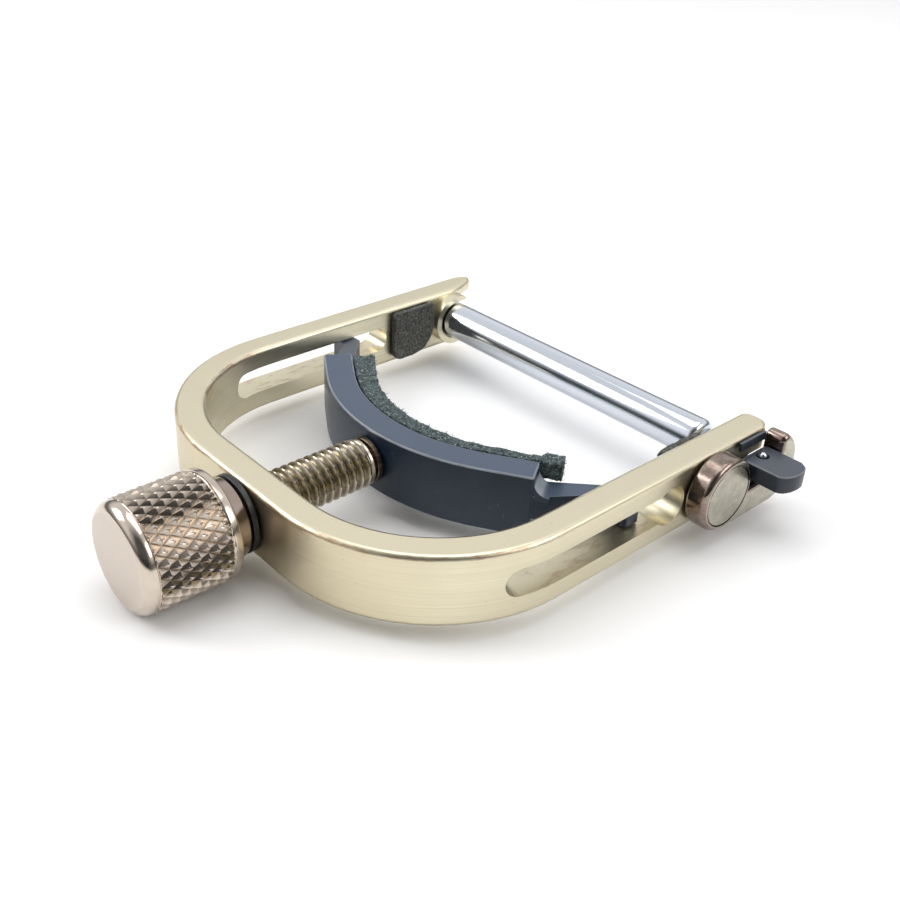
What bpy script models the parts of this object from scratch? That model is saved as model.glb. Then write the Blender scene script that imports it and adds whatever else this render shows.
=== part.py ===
"""Screw capo for a guitar neck: a bent strip yoke, a string bar that swings like a gate, a cam
lever that holds the bar shut, and a thumb screw that drives a felted saddle along the arms.

Lengths below are in millimetres and become metres in metres(). Drawing axes: X runs along the
string bar, Y from the thumb screw towards the bar, Z across the width of the strip. The drawing
origin is the middle of the yoke's outer base face, at the strip's lower edge.
"""
import math

import bmesh
import bpy
from mathutils import Matrix, Vector

# ---- fits -------------------------------------------------------------------------------------
GAP = 0.3                     # clearance between neighbouring pieces

# ---- yoke -------------------------------------------------------------------------------------
STRIP_T = 4.0                 # strip thickness
STRIP_H = 9.2                 # strip width, along Z
HALF_WIDTH = 30.0             # outer half width over the arms
CORNER_R = 21.5               # outer corner radius
BAR_Y = 55.8                  # string bar's axis, out from the base
RIGHT_END = BAR_Y + 3.9       # end of the right (hinge) arm
LEFT_END = BAR_Y + 6.2        # tip of the left (seat) arm
EDGE_R = 0.7                  # rounding of the strip's long edges
AXIS_Z = STRIP_H / 2          # screw, slots and bar all lie in the strip's middle plane
INNER_X = HALF_WIDTH - STRIP_T
INNER_R = CORNER_R - STRIP_T
CORNER_X = HALF_WIDTH - CORNER_R

# ---- guide slots in the arms ------------------------------------------------------------------
SLOT_HALF = 1.85              # half the slot's width
SLOT_START_DEG = 70.5         # where the slot begins round the corner, from the base
SLOT_END = 42.8               # end of the slot along the arm
KEYHOLE_R = 2.6               # round opening that lets the saddle lug in
KEYHOLE_Y = SLOT_END - KEYHOLE_R

# ---- string bar and its hinge -----------------------------------------------------------------
BAR_R = 2.75
BAR_RIGHT = INNER_X - 2.8     # rod end next to the hinge arm
BAR_LEFT = 0.4 - HALF_WIDTH   # rod end in the open seat
SEAT_R = BAR_R + GAP
SEAT_RIM = 0.9                # wall of the collar round the seat
SEAT_COLLAR_X = 1.6 - INNER_X  # the collar stands this far in from the arm
HINGE_X = HALF_WIDTH - 2.4
HINGE_R = 0.9
TANG_HALF = 2.05              # half width of the tang, and radius of its heel
TANG_T = 2.2                  # thickness of the tang
SPIGOT_R = 1.0                # under half the tang's thickness, so it clears the hinge window
SPIGOT_L = 4.5

# ---- latch block, rivet and cam lever ---------------------------------------------------------
BLOCK_T = 2.8
BLOCK_X = HALF_WIDTH + GAP    # inner face of the block
BLOCK_R = 4.8
RIVET_Y = 47.4
LEVER_Y = BAR_Y - 0.8         # middle of the lever
FAR_EAR_Y = LEVER_Y + 2.0
NOTCH_FLOOR = AXIS_Z - 0.8
LEVER_W = 5.2
LEVER_T = 2.4
LEVER_TIP = HALF_WIDTH + 7.5  # end of the thumb tab
LEVER_X = BLOCK_X + 1.1       # cam lever axis
LEVER_Z = AXIS_Z + 1.2
HUB_R = 1.1
NOSE_R = 0.85
TRUNNION_R = 0.5
RIVET_HEAD_R = 3.8
RIVET_HEAD_T = 0.5
RIVET_SHANK_R = 2.0
BALL_R = 0.55
BALL_X = LEVER_X + 0.8
BALL_Z = LEVER_Z + LEVER_T / 2 - 0.05

# ---- saddle -----------------------------------------------------------------------------------
SADDLE_BACK = 19.0            # middle of the saddle's back face
SADDLE_R = 27.5               # radius of the back face
SADDLE_T = 3.9
SADDLE_ARC_DEG = 33.0         # the curve runs this far each side, then goes straight
SADDLE_HALF = INNER_X - 5.7   # half length of the full-height part, at the back face
SADDLE_H = STRIP_H - 0.8
LUG_H = 2 * (SLOT_HALF - GAP)
LUG_Y = 35.6
LUG_W = 2.6
LUG_TIP = HALF_WIDTH - 1.7
FELT_T = 2.3
FELT_HALF = SADDLE_HALF - 1.7  # half length of the felt, at the back face

# ---- screw and knob ---------------------------------------------------------------------------
THREAD_R = 3.175
THREAD_PITCH = 1.12
THREAD_DEPTH = 0.55
THREAD_STEPS = 18             # facets round one turn
THREAD_START = -0.6
SCREW_END = SADDLE_BACK - 1.3  # shoulder of the screw
JOURNAL_R = 1.9
JOURNAL_END = SADDLE_BACK + 3.0
KNOB_R = 6.75
KNOB_FRONT = -15.3
KNOB_BACK = -1.4
KNOB_BAND = -3.4
KNOB_SHOULDER_R = 5.0
WASHER_T = 0.7
SCREW_FRONT = -12.2

# ---- liner pads -------------------------------------------------------------------------------
PAD_T = 0.9
PAD_START = SLOT_END + 0.8
PAD_END = BAR_Y - SEAT_R - SEAT_RIM - GAP

# Middle of the bounding box, which becomes the part's origin.
MIDDLE_X = (LEVER_TIP - HALF_WIDTH) / 2
MIDDLE_Y = (LEFT_END + KNOB_FRONT) / 2
LOWEST_Z = AXIS_Z - KNOB_R
SHIFT = Vector((-MIDDLE_X, -MIDDLE_Y, -LOWEST_Z)) * 0.001

X = Vector((1, 0, 0))
Y = Vector((0, 1, 0))
Z = Vector((0, 0, 1))


def metres(x, y, z):
    """Drawing point in millimetres to a vector in metres."""
    return Vector((x, y, z)) * 0.001


# ---- materials --------------------------------------------------------------------------------
def material(name, colour, metallic, roughness):
    mat = bpy.data.materials.new(name)
    mat.use_nodes = True
    shader = mat.node_tree.nodes["Principled BSDF"]
    shader.inputs["Base Color"].default_value = (*colour, 1.0)
    shader.inputs["Metallic"].default_value = metallic
    shader.inputs["Roughness"].default_value = roughness
    mat.diffuse_color = (*colour, 1.0)
    return mat


def champagne_metal():
    return material("champagne_metal", (0.63, 0.58, 0.44), 1.0, 0.38)


def antique_nickel():
    return material("antique_nickel", (0.52, 0.47, 0.42), 1.0, 0.3)


def knob_metal():
    return material("knob_metal", (0.50, 0.43, 0.37), 1.0, 0.32)


def screw_metal():
    return material("screw_metal", (0.47, 0.38, 0.27), 1.0, 0.3)


def polished_steel():
    return material("polished_steel", (0.75, 0.76, 0.78), 1.0, 0.08)


def black_metal():
    return material("black_metal", (0.035, 0.042, 0.055), 0.6, 0.4)


def black_lever():
    return material("black_lever", (0.03, 0.035, 0.042), 0.5, 0.35)


def felt_grey():
    return material("felt_grey", (0.07, 0.09, 0.09), 0.0, 0.95)


def pad_grey():
    return material("pad_grey", (0.055, 0.055, 0.05), 0.0, 0.95)


def washer_bronze():
    return material("washer_bronze", (0.42, 0.28, 0.17), 1.0, 0.4)


# ---- solids -----------------------------------------------------------------------------------
def new_object(name, bm, origin, smooth_deg=35):
    """Make a named object whose origin is a drawing point in millimetres."""
    pivot = metres(*origin)
    bmesh.ops.transform(bm, matrix=Matrix.Translation(-pivot), verts=bm.verts)
    bmesh.ops.remove_doubles(bm, verts=bm.verts, dist=1e-7)
    bmesh.ops.recalc_face_normals(bm, faces=bm.faces)
    mesh = bpy.data.meshes.new(name)
    bm.to_mesh(mesh)
    bm.free()
    mesh.shade_smooth()
    mesh.set_sharp_from_angle(angle=math.radians(smooth_deg))
    obj = bpy.data.objects.new(name, mesh)
    bpy.context.scene.collection.objects.link(obj)
    obj.location = pivot + SHIFT
    return obj


def prism(bm, outline, low, high, axis="Z"):
    """Add a straight extrusion of a closed outline; the outline lies across the named axis."""
    rings = []
    for level in (low, high):
        ring = []
        for a, b in outline:
            point = {"Z": (a, b, level), "X": (level, a, b), "Y": (a, level, b)}[axis]
            ring.append(bm.verts.new(metres(*point)))
        rings.append(ring)
    bm.faces.new(rings[0])
    bm.faces.new(rings[1])
    count = len(outline)
    for i in range(count):
        j = (i + 1) % count
        bm.faces.new((rings[0][i], rings[0][j], rings[1][j], rings[1][i]))


def lathe(bm, profile, centre, axis, segments=40):
    """Add a solid of revolution; profile is (distance along axis, radius) from end to end."""
    side = Z if axis is not Z else X
    other = axis.cross(side)
    rings = []
    for along, radius in profile:
        mid = Vector(centre) + axis * along
        ring = []
        for i in range(segments):
            turn = 2 * math.pi * i / segments
            spot = mid + (side * math.cos(turn) + other * math.sin(turn)) * radius
            ring.append(bm.verts.new(metres(*spot)))
        rings.append(ring)
    bm.faces.new(rings[0])
    bm.faces.new(rings[-1])
    for a, b in zip(rings, rings[1:]):
        for i in range(segments):
            j = (i + 1) % segments
            bm.faces.new((a[i], a[j], b[j], b[i]))


def tube(bm, inner, outer, low, high, centre, axis, segments=40):
    """Add a ring with a rectangular section."""
    side = Z if axis is not Z else X
    other = axis.cross(side)
    rings = []
    for along, radius in ((low, inner), (low, outer), (high, outer), (high, inner)):
        mid = Vector(centre) + axis * along
        ring = []
        for i in range(segments):
            turn = 2 * math.pi * i / segments
            spot = mid + (side * math.cos(turn) + other * math.sin(turn)) * radius
            ring.append(bm.verts.new(metres(*spot)))
        rings.append(ring)
    for a, b in zip(rings, rings[1:] + rings[:1]):
        for i in range(segments):
            j = (i + 1) % segments
            bm.faces.new((a[i], a[j], b[j], b[i]))


def arc(cx, cy, radius, start_deg, end_deg, steps):
    points = []
    for i in range(steps + 1):
        turn = math.radians(start_deg + (end_deg - start_deg) * i / steps)
        points.append((cx + radius * math.cos(turn), cy + radius * math.sin(turn)))
    return points


def rectangle(a0, b0, a1, b1):
    return [(a0, b0), (a1, b0), (a1, b1), (a0, b1)]


def cutter(name, bm):
    obj = new_object(name, bm, (0, 0, 0))
    obj.hide_render = True
    obj.display_type = "WIRE"
    return obj


def boolean(obj, tool, operation="DIFFERENCE"):
    mod = obj.modifiers.new(tool.name, "BOOLEAN")
    mod.operation = operation
    mod.solver = "EXACT"
    mod.object = tool


def bevel(obj, width, segments=2, limit_deg=50):
    mod = obj.modifiers.new("bevel", "BEVEL")
    mod.width = width * 0.001
    mod.segments = segments
    mod.limit_method = "ANGLE"
    mod.angle_limit = math.radians(limit_deg)


def dress(obj, mat):
    obj.data.materials.clear()
    obj.data.materials.append(mat)
    return obj


# ---- yoke -------------------------------------------------------------------------------------
def yoke_outline():
    """Plan of the bent strip, once round: outside from the left arm tip, back along the inside."""
    outside = [(-HALF_WIDTH, LEFT_END - 2.2)]
    outside += arc(-CORNER_X, CORNER_R, CORNER_R, 180, 270, 18)
    outside += arc(CORNER_X, CORNER_R, CORNER_R, 270, 360, 18)
    right = arc(HALF_WIDTH - 1.8, RIGHT_END - 1.8, 1.8, 0, 90, 6)
    right += arc(INNER_X + 1.2, RIGHT_END - 1.2, 1.2, 90, 180, 5)
    inside = arc(CORNER_X, CORNER_R, INNER_R, 0, -90, 16)
    inside += arc(-CORNER_X, CORNER_R, INNER_R, -90, -180, 16)
    tip = [(-INNER_X, LEFT_END - 6.0), (-INNER_X - 0.4, LEFT_END - 3.6)]
    tip += [(-INNER_X - 1.3, LEFT_END - 1.2), (-INNER_X - 2.1, LEFT_END - 0.2)]
    tip += [(-INNER_X - 2.8, LEFT_END), (-HALF_WIDTH + 0.6, LEFT_END - 0.5)]
    return outside + right + inside + tip


def slot_cutter(side):
    """Obround cutter that follows the strip round the corner; side is -1 or +1."""
    mid_r = CORNER_R - STRIP_T / 2
    start = mid_r * math.radians(SLOT_START_DEG)
    corner = mid_r * math.pi / 2
    end = corner + SLOT_END - CORNER_R
    stations = []
    for i in range(9):
        turn = math.radians(90 * i / 8)
        stations.append((start + SLOT_HALF * (1 - math.cos(turn)), SLOT_HALF * math.sin(turn)))
    for i in range(1, 6):
        first = start + SLOT_HALF
        stations.append((first + (corner - first) * i / 5, SLOT_HALF))
    for i in range(9):
        turn = math.radians(90 - 90 * i / 8)
        stations.append((end - SLOT_HALF * (1 - math.cos(turn)), SLOT_HALF * math.sin(turn)))
    bm = bmesh.new()
    rows = []
    for along, half in stations:
        row = []
        for reach in (-STRIP_T / 2 - 1, STRIP_T / 2 + 1):
            for lift in ((half, -half) if half > 1e-6 else (0.0,)):
                if along < corner:
                    turn = along / mid_r
                    x = CORNER_X + (mid_r + reach) * math.sin(turn)
                    y = CORNER_R - (mid_r + reach) * math.cos(turn)
                else:
                    x = CORNER_X + mid_r + reach
                    y = CORNER_R + along - corner
                row.append(bm.verts.new(metres(side * x, y, AXIS_Z + lift)))
        rows.append(row)
    for a, b in zip(rows, rows[1:]):
        if len(a) == 2:
            a = (a[0], a[0], a[1], a[1])
        if len(b) == 2:
            b = (b[0], b[0], b[1], b[1])
        for i, j in ((0, 1), (1, 3), (3, 2), (2, 0)):
            corners = []
            for vert in (a[i], a[j], b[j], b[i]):
                if vert not in corners:
                    corners.append(vert)
            if len(corners) > 2:
                bm.faces.new(corners)
    return cutter("cut_slot_" + ("right" if side > 0 else "left"), bm)


def seat_collar():
    """C-shaped collar that stands in from the left arm round the open bar seat."""
    bm = bmesh.new()
    outline = arc(BAR_Y, AXIS_Z, SEAT_R + SEAT_RIM, 60, 300, 20)
    outline += arc(BAR_Y, AXIS_Z, SEAT_R, 300, 60, 20)
    prism(bm, outline, -INNER_X - 1.0, SEAT_COLLAR_X, "X")
    return cutter("add_seat_collar", bm)


def seat_cutter():
    """Round channel across the left arm, open away from the base."""
    bm = bmesh.new()
    outline = arc(BAR_Y, AXIS_Z, SEAT_R, 90, 270, 16)
    outline += [(LEFT_END + 2, AXIS_Z - SEAT_R), (LEFT_END + 2, AXIS_Z + SEAT_R)]
    prism(bm, outline, -HALF_WIDTH - 1, SEAT_COLLAR_X + 1, "X")
    return cutter("cut_seat", bm)


def lip_cutter():
    """Takes the lower lip of the seat back from the upper prong."""
    bm = bmesh.new()
    prism(bm, rectangle(LEFT_END - 2.3, -1, LEFT_END + 2, AXIS_Z), -HALF_WIDTH - 1, -INNER_X + 1, "X")
    return cutter("cut_lip", bm)


def window_cutter():
    """Gap between the two cheeks of the hinge arm, for the tang and the cam nose."""
    half = TANG_T / 2 + GAP
    bm = bmesh.new()
    outline = rectangle(BAR_Y - 3.5, AXIS_Z - half, RIGHT_END + 2, AXIS_Z + half)
    prism(bm, outline, INNER_X - 1, HALF_WIDTH + 1, "X")
    return cutter("cut_window", bm)


def bore_cutter(name, centre, axis, low, high, radius, segments=32):
    bm = bmesh.new()
    lathe(bm, [(low, radius), (high, radius)], centre, axis, segments)
    return cutter(name, bm)


def build_yoke(mat):
    bm = bmesh.new()
    prism(bm, yoke_outline(), 0, STRIP_H)
    yoke = new_object("yoke", bm, (0, 0, AXIS_Z), 40)
    bevel(yoke, EDGE_R, 2, 60)
    boolean(yoke, seat_collar(), "UNION")
    boolean(yoke, seat_cutter())
    boolean(yoke, lip_cutter())
    boolean(yoke, slot_cutter(-1))
    boolean(yoke, slot_cutter(1))
    boolean(yoke, window_cutter())
    screw = bore_cutter("cut_screw", (0, 0, AXIS_Z), Y, -2, STRIP_T + 2, THREAD_R + GAP)
    keyhole = bore_cutter("cut_keyhole", (0, KEYHOLE_Y, AXIS_Z), X, INNER_X - 2, HALF_WIDTH + 2, KEYHOLE_R)
    hinge = bore_cutter("cut_hinge", (HINGE_X, BAR_Y, 0), Z, -1, 7.9, HINGE_R + GAP, 24)
    rivet = bore_cutter("cut_rivet", (0, RIVET_Y, AXIS_Z), X, INNER_X - 1, HALF_WIDTH + 1,
                        RIVET_SHANK_R + GAP, 24)
    for tool in (screw, keyhole, hinge, rivet):
        boolean(yoke, tool)
    dress(yoke, mat)


def build_pad(name, side, mat):
    """Liner glued inside an arm, just short of the string bar."""
    near = side * (INNER_X - GAP)
    far = side * (INNER_X - GAP - PAD_T)
    bm = bmesh.new()
    prism(bm, rectangle(PAD_START, EDGE_R, PAD_END, STRIP_H - EDGE_R), min(near, far), max(near, far), "X")
    pad = new_object(name, bm, ((near + far) / 2, (PAD_START + PAD_END) / 2, AXIS_Z))
    bevel(pad, 0.2, 1)
    dress(pad, mat)


# ---- string bar -------------------------------------------------------------------------------
def build_string_bar(mat):
    bm = bmesh.new()
    profile = [(BAR_LEFT, BAR_R - 0.5), (BAR_LEFT + 0.5, BAR_R)]
    profile += [(BAR_RIGHT - 0.4, BAR_R), (BAR_RIGHT, BAR_R - 0.4)]
    lathe(bm, profile, (0, BAR_Y, AXIS_Z), X, 48)
    bar = new_object("string_bar", bm, (HINGE_X, BAR_Y, AXIS_Z))
    socket = bore_cutter("cut_spigot", (0, BAR_Y, AXIS_Z), X, BAR_RIGHT - SPIGOT_L - GAP, BAR_RIGHT + 1,
                         SPIGOT_R + GAP, 24)
    boolean(bar, socket)
    dress(bar, mat)


def build_bar_tang(mat):
    """Flat tang with a round heel, and the spigot that plugs into the rod."""
    bm = bmesh.new()
    outline = [(BAR_RIGHT + GAP, BAR_Y + TANG_HALF), (BAR_RIGHT + GAP, BAR_Y - TANG_HALF)]
    outline += arc(HINGE_X, BAR_Y, TANG_HALF, -90, 90, 20)
    prism(bm, outline, AXIS_Z - TANG_T / 2, AXIS_Z + TANG_T / 2)
    tang = new_object("bar_tang", bm, (HINGE_X, BAR_Y, AXIS_Z))
    spigot = bmesh.new()
    lathe(spigot, [(BAR_RIGHT - SPIGOT_L, SPIGOT_R), (BAR_RIGHT + 1.5, SPIGOT_R)], (0, BAR_Y, AXIS_Z), X, 24)
    boolean(tang, cutter("add_spigot", spigot), "UNION")
    boolean(tang, bore_cutter("cut_tang", (HINGE_X, BAR_Y, 0), Z, 0, STRIP_H, HINGE_R + GAP, 24))
    dress(tang, mat)


def build_hinge_pin(mat):
    bm = bmesh.new()
    profile = [(0.3, HINGE_R - 0.2), (0.5, HINGE_R), (7.4, HINGE_R), (7.6, HINGE_R - 0.2)]
    lathe(bm, profile, (HINGE_X, BAR_Y, 0), Z, 24)
    dress(new_object("bar_hinge_pin", bm, (HINGE_X, BAR_Y, AXIS_Z)), mat)


# ---- latch ------------------------------------------------------------------------------------
def build_latch_block(mat):
    """Obround block with two ears; the notch between them is open upwards."""
    bm = bmesh.new()
    outline = arc(RIVET_Y, AXIS_Z, BLOCK_R, 90, 270, 20)
    outline += arc(FAR_EAR_Y, AXIS_Z, BLOCK_R, -90, 90, 20)
    prism(bm, outline, BLOCK_X, BLOCK_X + BLOCK_T, "X")
    block = new_object("latch_block", bm, (BLOCK_X, RIVET_Y, AXIS_Z), 30)
    bevel(block, 0.35, 2)
    notch = bmesh.new()
    half = LEVER_W / 2 + GAP
    prism(notch, rectangle(LEVER_Y - half, NOTCH_FLOOR, LEVER_Y + half, STRIP_H + 3), BLOCK_X - 1,
          BLOCK_X + BLOCK_T + 1, "X")
    boolean(block, cutter("cut_notch", notch))
    face = BLOCK_X + BLOCK_T
    head = bore_cutter("cut_rivet_head", (0, RIVET_Y, AXIS_Z), X, face - RIVET_HEAD_T - GAP, face + 1,
                       RIVET_HEAD_R + GAP, 48)
    shank = bore_cutter("cut_rivet_shank", (0, RIVET_Y, AXIS_Z), X, BLOCK_X - 1, face, RIVET_SHANK_R + GAP, 24)
    pivot = (LEVER_X, 0, LEVER_Z)
    near = bore_cutter("cut_near_ear", pivot, Y, LEVER_Y - 4.8, LEVER_Y, TRUNNION_R + GAP, 20)
    far = bore_cutter("cut_far_ear", pivot, Y, LEVER_Y, LEVER_Y + 5.6, TRUNNION_R + GAP, 20)
    for tool in (head, shank, near, far):
        boolean(block, tool)
    dress(block, mat)


def build_rivet(mat):
    """Flush rivet: a wide thin head in the block and a shank through the arm."""
    face = BLOCK_X + BLOCK_T
    bm = bmesh.new()
    profile = [(INNER_X + 0.1, RIVET_SHANK_R), (face - RIVET_HEAD_T, RIVET_SHANK_R)]
    profile += [(face - RIVET_HEAD_T, RIVET_HEAD_R), (face - 0.1, RIVET_HEAD_R), (face, RIVET_HEAD_R - 0.1)]
    lathe(bm, profile, (0, RIVET_Y, AXIS_Z), X, 48)
    dress(new_object("block_rivet", bm, (HALF_WIDTH, RIVET_Y, AXIS_Z), 30), mat)


def build_cam_lever(mat):
    """Thumb tab, hub and cam nose in one piece."""
    half = LEVER_W / 2
    bm = bmesh.new()
    outline = [(LEVER_X, LEVER_Y - half), (LEVER_TIP - 1.2, LEVER_Y - half)]
    outline += [(LEVER_TIP - 0.55, LEVER_Y - half + 0.55), (LEVER_TIP - 0.12, LEVER_Y - 1.0)]
    outline += [(LEVER_TIP, LEVER_Y), (LEVER_TIP - 0.05, LEVER_Y + 1.0)]
    outline += [(LEVER_TIP - 0.5, LEVER_Y + half - 0.6), (LEVER_TIP - 1.4, LEVER_Y + half)]
    outline += [(LEVER_X, LEVER_Y + half)]
    prism(bm, outline, LEVER_Z - LEVER_T / 2, LEVER_Z + LEVER_T / 2)
    lever = new_object("cam_lever", bm, (LEVER_X, LEVER_Y, LEVER_Z), 30)
    bevel(lever, 0.25, 2, 40)
    hub = bmesh.new()
    lathe(hub, [(LEVER_Y - half, HUB_R), (LEVER_Y + half, HUB_R)], (LEVER_X, 0, LEVER_Z), Y, 28)
    nose = bmesh.new()
    nose_x = HALF_WIDTH - 0.05 + NOSE_R
    lathe(nose, [(LEVER_Y - 1.4, NOSE_R), (LEVER_Y + 1.4, NOSE_R)], (nose_x, 0, LEVER_Z - 0.75), Y, 24)
    boolean(lever, cutter("add_hub", hub), "UNION")
    boolean(lever, cutter("add_nose", nose), "UNION")
    pivot = (LEVER_X, 0, LEVER_Z)
    boolean(lever, bore_cutter("cut_lever_near", pivot, Y, LEVER_Y - 4, LEVER_Y - 1.2, TRUNNION_R + GAP, 20))
    boolean(lever, bore_cutter("cut_lever_far", pivot, Y, LEVER_Y + 1.2, LEVER_Y + 4, TRUNNION_R + GAP, 20))
    well = bore_cutter("cut_ball_well", (BALL_X, LEVER_Y, 0), Z, LEVER_Z - LEVER_T / 2 + 0.4, LEVER_Z + 3,
                       BALL_R + GAP, 24)
    boolean(lever, well)
    dress(lever, mat)


def build_trunnion(name, low, high, mat):
    bm = bmesh.new()
    lathe(bm, [(low, TRUNNION_R), (high, TRUNNION_R)], (LEVER_X, 0, LEVER_Z), Y, 20)
    dress(new_object(name, bm, (LEVER_X, (low + high) / 2, LEVER_Z)), mat)


def build_detent_ball(mat):
    bm = bmesh.new()
    bmesh.ops.create_uvsphere(bm, u_segments=20, v_segments=12, radius=BALL_R * 0.001)
    centre = (BALL_X, LEVER_Y, BALL_Z)
    bmesh.ops.transform(bm, matrix=Matrix.Translation(metres(*centre)), verts=bm.verts)
    dress(new_object("detent_ball", bm, centre, 80), mat)


def coil(bm, centre, low, high, radius, wire, turns, per_turn=16, around=6):
    """Add a round-wire coil standing along Z, closed at both ends."""
    count = int(turns * per_turn)
    rise = (high - low - 2 * wire) / count
    rings = []
    for i in range(count + 1):
        turn = 2 * math.pi * i / per_turn
        out = Vector((math.cos(turn), math.sin(turn), 0))
        mid = Vector(centre) + out * radius + Z * (low + wire + rise * i)
        ring = []
        for k in range(around):
            roll = 2 * math.pi * k / around
            spot = mid + (out * math.cos(roll) + Z * math.sin(roll)) * wire
            ring.append(bm.verts.new(metres(*spot)))
        rings.append(ring)
    bm.faces.new(rings[0])
    bm.faces.new(rings[-1])
    for a, b in zip(rings, rings[1:]):
        for k in range(around):
            j = (k + 1) % around
            bm.faces.new((a[k], a[j], b[j], b[k]))


def build_detent_spring(mat):
    low = LEVER_Z - LEVER_T / 2 + 0.4 + 0.1
    bm = bmesh.new()
    coil(bm, (BALL_X, LEVER_Y, 0), low, BALL_Z - BALL_R - 0.1, 0.42, 0.09, 3, 14, 5)
    dress(new_object("detent_spring", bm, (BALL_X, LEVER_Y, low), 60), mat)


def build_leaf_spring(mat):
    """Thin strip behind the lever, between the ears."""
    half = LEVER_W / 2
    bm = bmesh.new()
    outline = [(HALF_WIDTH + GAP, 7.7), (HALF_WIDTH + GAP + 0.35, 7.7), (HALF_WIDTH + GAP + 0.35, 8.9)]
    outline += [(HALF_WIDTH + GAP, 8.9)]
    prism(bm, outline, LEVER_Y - half, LEVER_Y + half, "Y")
    dress(new_object("leaf_spring", bm, (HALF_WIDTH + GAP, LEVER_Y, 8.3)), mat)


# ---- saddle -----------------------------------------------------------------------------------
def saddle_line(offset, half_x):
    """One face of the saddle band in plan: an arc with straight ends, set off towards the bar."""
    centre_y = SADDLE_BACK + SADDLE_R
    radius = SADDLE_R - offset
    slope = math.radians(SADDLE_ARC_DEG)
    right = [(radius * math.sin(a), centre_y - radius * math.cos(a))
             for a in [slope * i / 10 for i in range(11)]]
    last = right[-1]
    # The straight end stops square to the band, where the back face reaches half_x.
    run = (half_x - SADDLE_R * math.sin(slope)) / math.cos(slope)
    right.append((last[0] + run * math.cos(slope), last[1] + run * math.sin(slope)))
    left = [(-x, y) for x, y in reversed(right[1:])]
    return left + right


def band(bm, near, far, half_x, low, high):
    prism(bm, saddle_line(near, half_x) + list(reversed(saddle_line(far, half_x))), low, high)


def lug_outline(side):
    """Tongue from the full-height end of the saddle out into the arm's slot."""
    end = saddle_line(0, SADDLE_HALF)[-1]
    top = saddle_line(SADDLE_T, SADDLE_HALF)[-1]
    root = saddle_line(0, SADDLE_HALF - 3.0)[-1]
    root_top = saddle_line(SADDLE_T, SADDLE_HALF - 3.0)[-1]
    low = LUG_Y - LUG_W / 2
    high = LUG_Y + LUG_W / 2
    shape = [(root[0], root[1] + 0.2), (end[0], end[1] + 0.2), (INNER_X - 1.4, low - 1.0), (INNER_X - 0.6, low)]
    shape += [(LUG_TIP - 0.4, low), (LUG_TIP, low + 0.4), (LUG_TIP, high - 0.4), (LUG_TIP - 0.4, high)]
    shape += [(INNER_X - 1.0, high), (top[0] + 1.2, top[1] + 1.0), (root_top[0], root_top[1] - 0.2)]
    return [(side * x, y) for x, y in shape]


def build_saddle(mat):
    low = AXIS_Z - SADDLE_H / 2
    high = AXIS_Z + SADDLE_H / 2
    bm = bmesh.new()
    band(bm, 0, SADDLE_T, SADDLE_HALF, low, high)
    saddle = new_object("saddle", bm, (0, SADDLE_BACK, AXIS_Z), 30)
    bevel(saddle, 0.35, 2, 50)
    for side, label in ((-1, "left"), (1, "right")):
        lug = bmesh.new()
        prism(lug, lug_outline(side), AXIS_Z - LUG_H / 2, AXIS_Z + LUG_H / 2)
        boolean(saddle, cutter("add_lug_" + label, lug), "UNION")
    journal = bore_cutter("cut_journal", (0, 0, AXIS_Z), Y, SADDLE_BACK - 2, SADDLE_BACK + 6,
                          JOURNAL_R + GAP, 28)
    recess = bore_cutter("cut_recess", (0, 0, AXIS_Z), Y, SADDLE_BACK + 1.9, SADDLE_BACK + 6, 3.4, 32)
    boolean(saddle, journal)
    boolean(saddle, recess)
    dress(saddle, mat)


def build_felt(mat):
    bm = bmesh.new()
    near = SADDLE_T + GAP
    band(bm, near, near + FELT_T, FELT_HALF, AXIS_Z - SADDLE_H / 2 + 0.2, AXIS_Z + SADDLE_H / 2 - 0.1)
    felt = new_object("saddle_felt", bm, (0, SADDLE_BACK + near, AXIS_Z), 30)
    bevel(felt, 0.3, 1, 50)
    dress(felt, mat)


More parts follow.
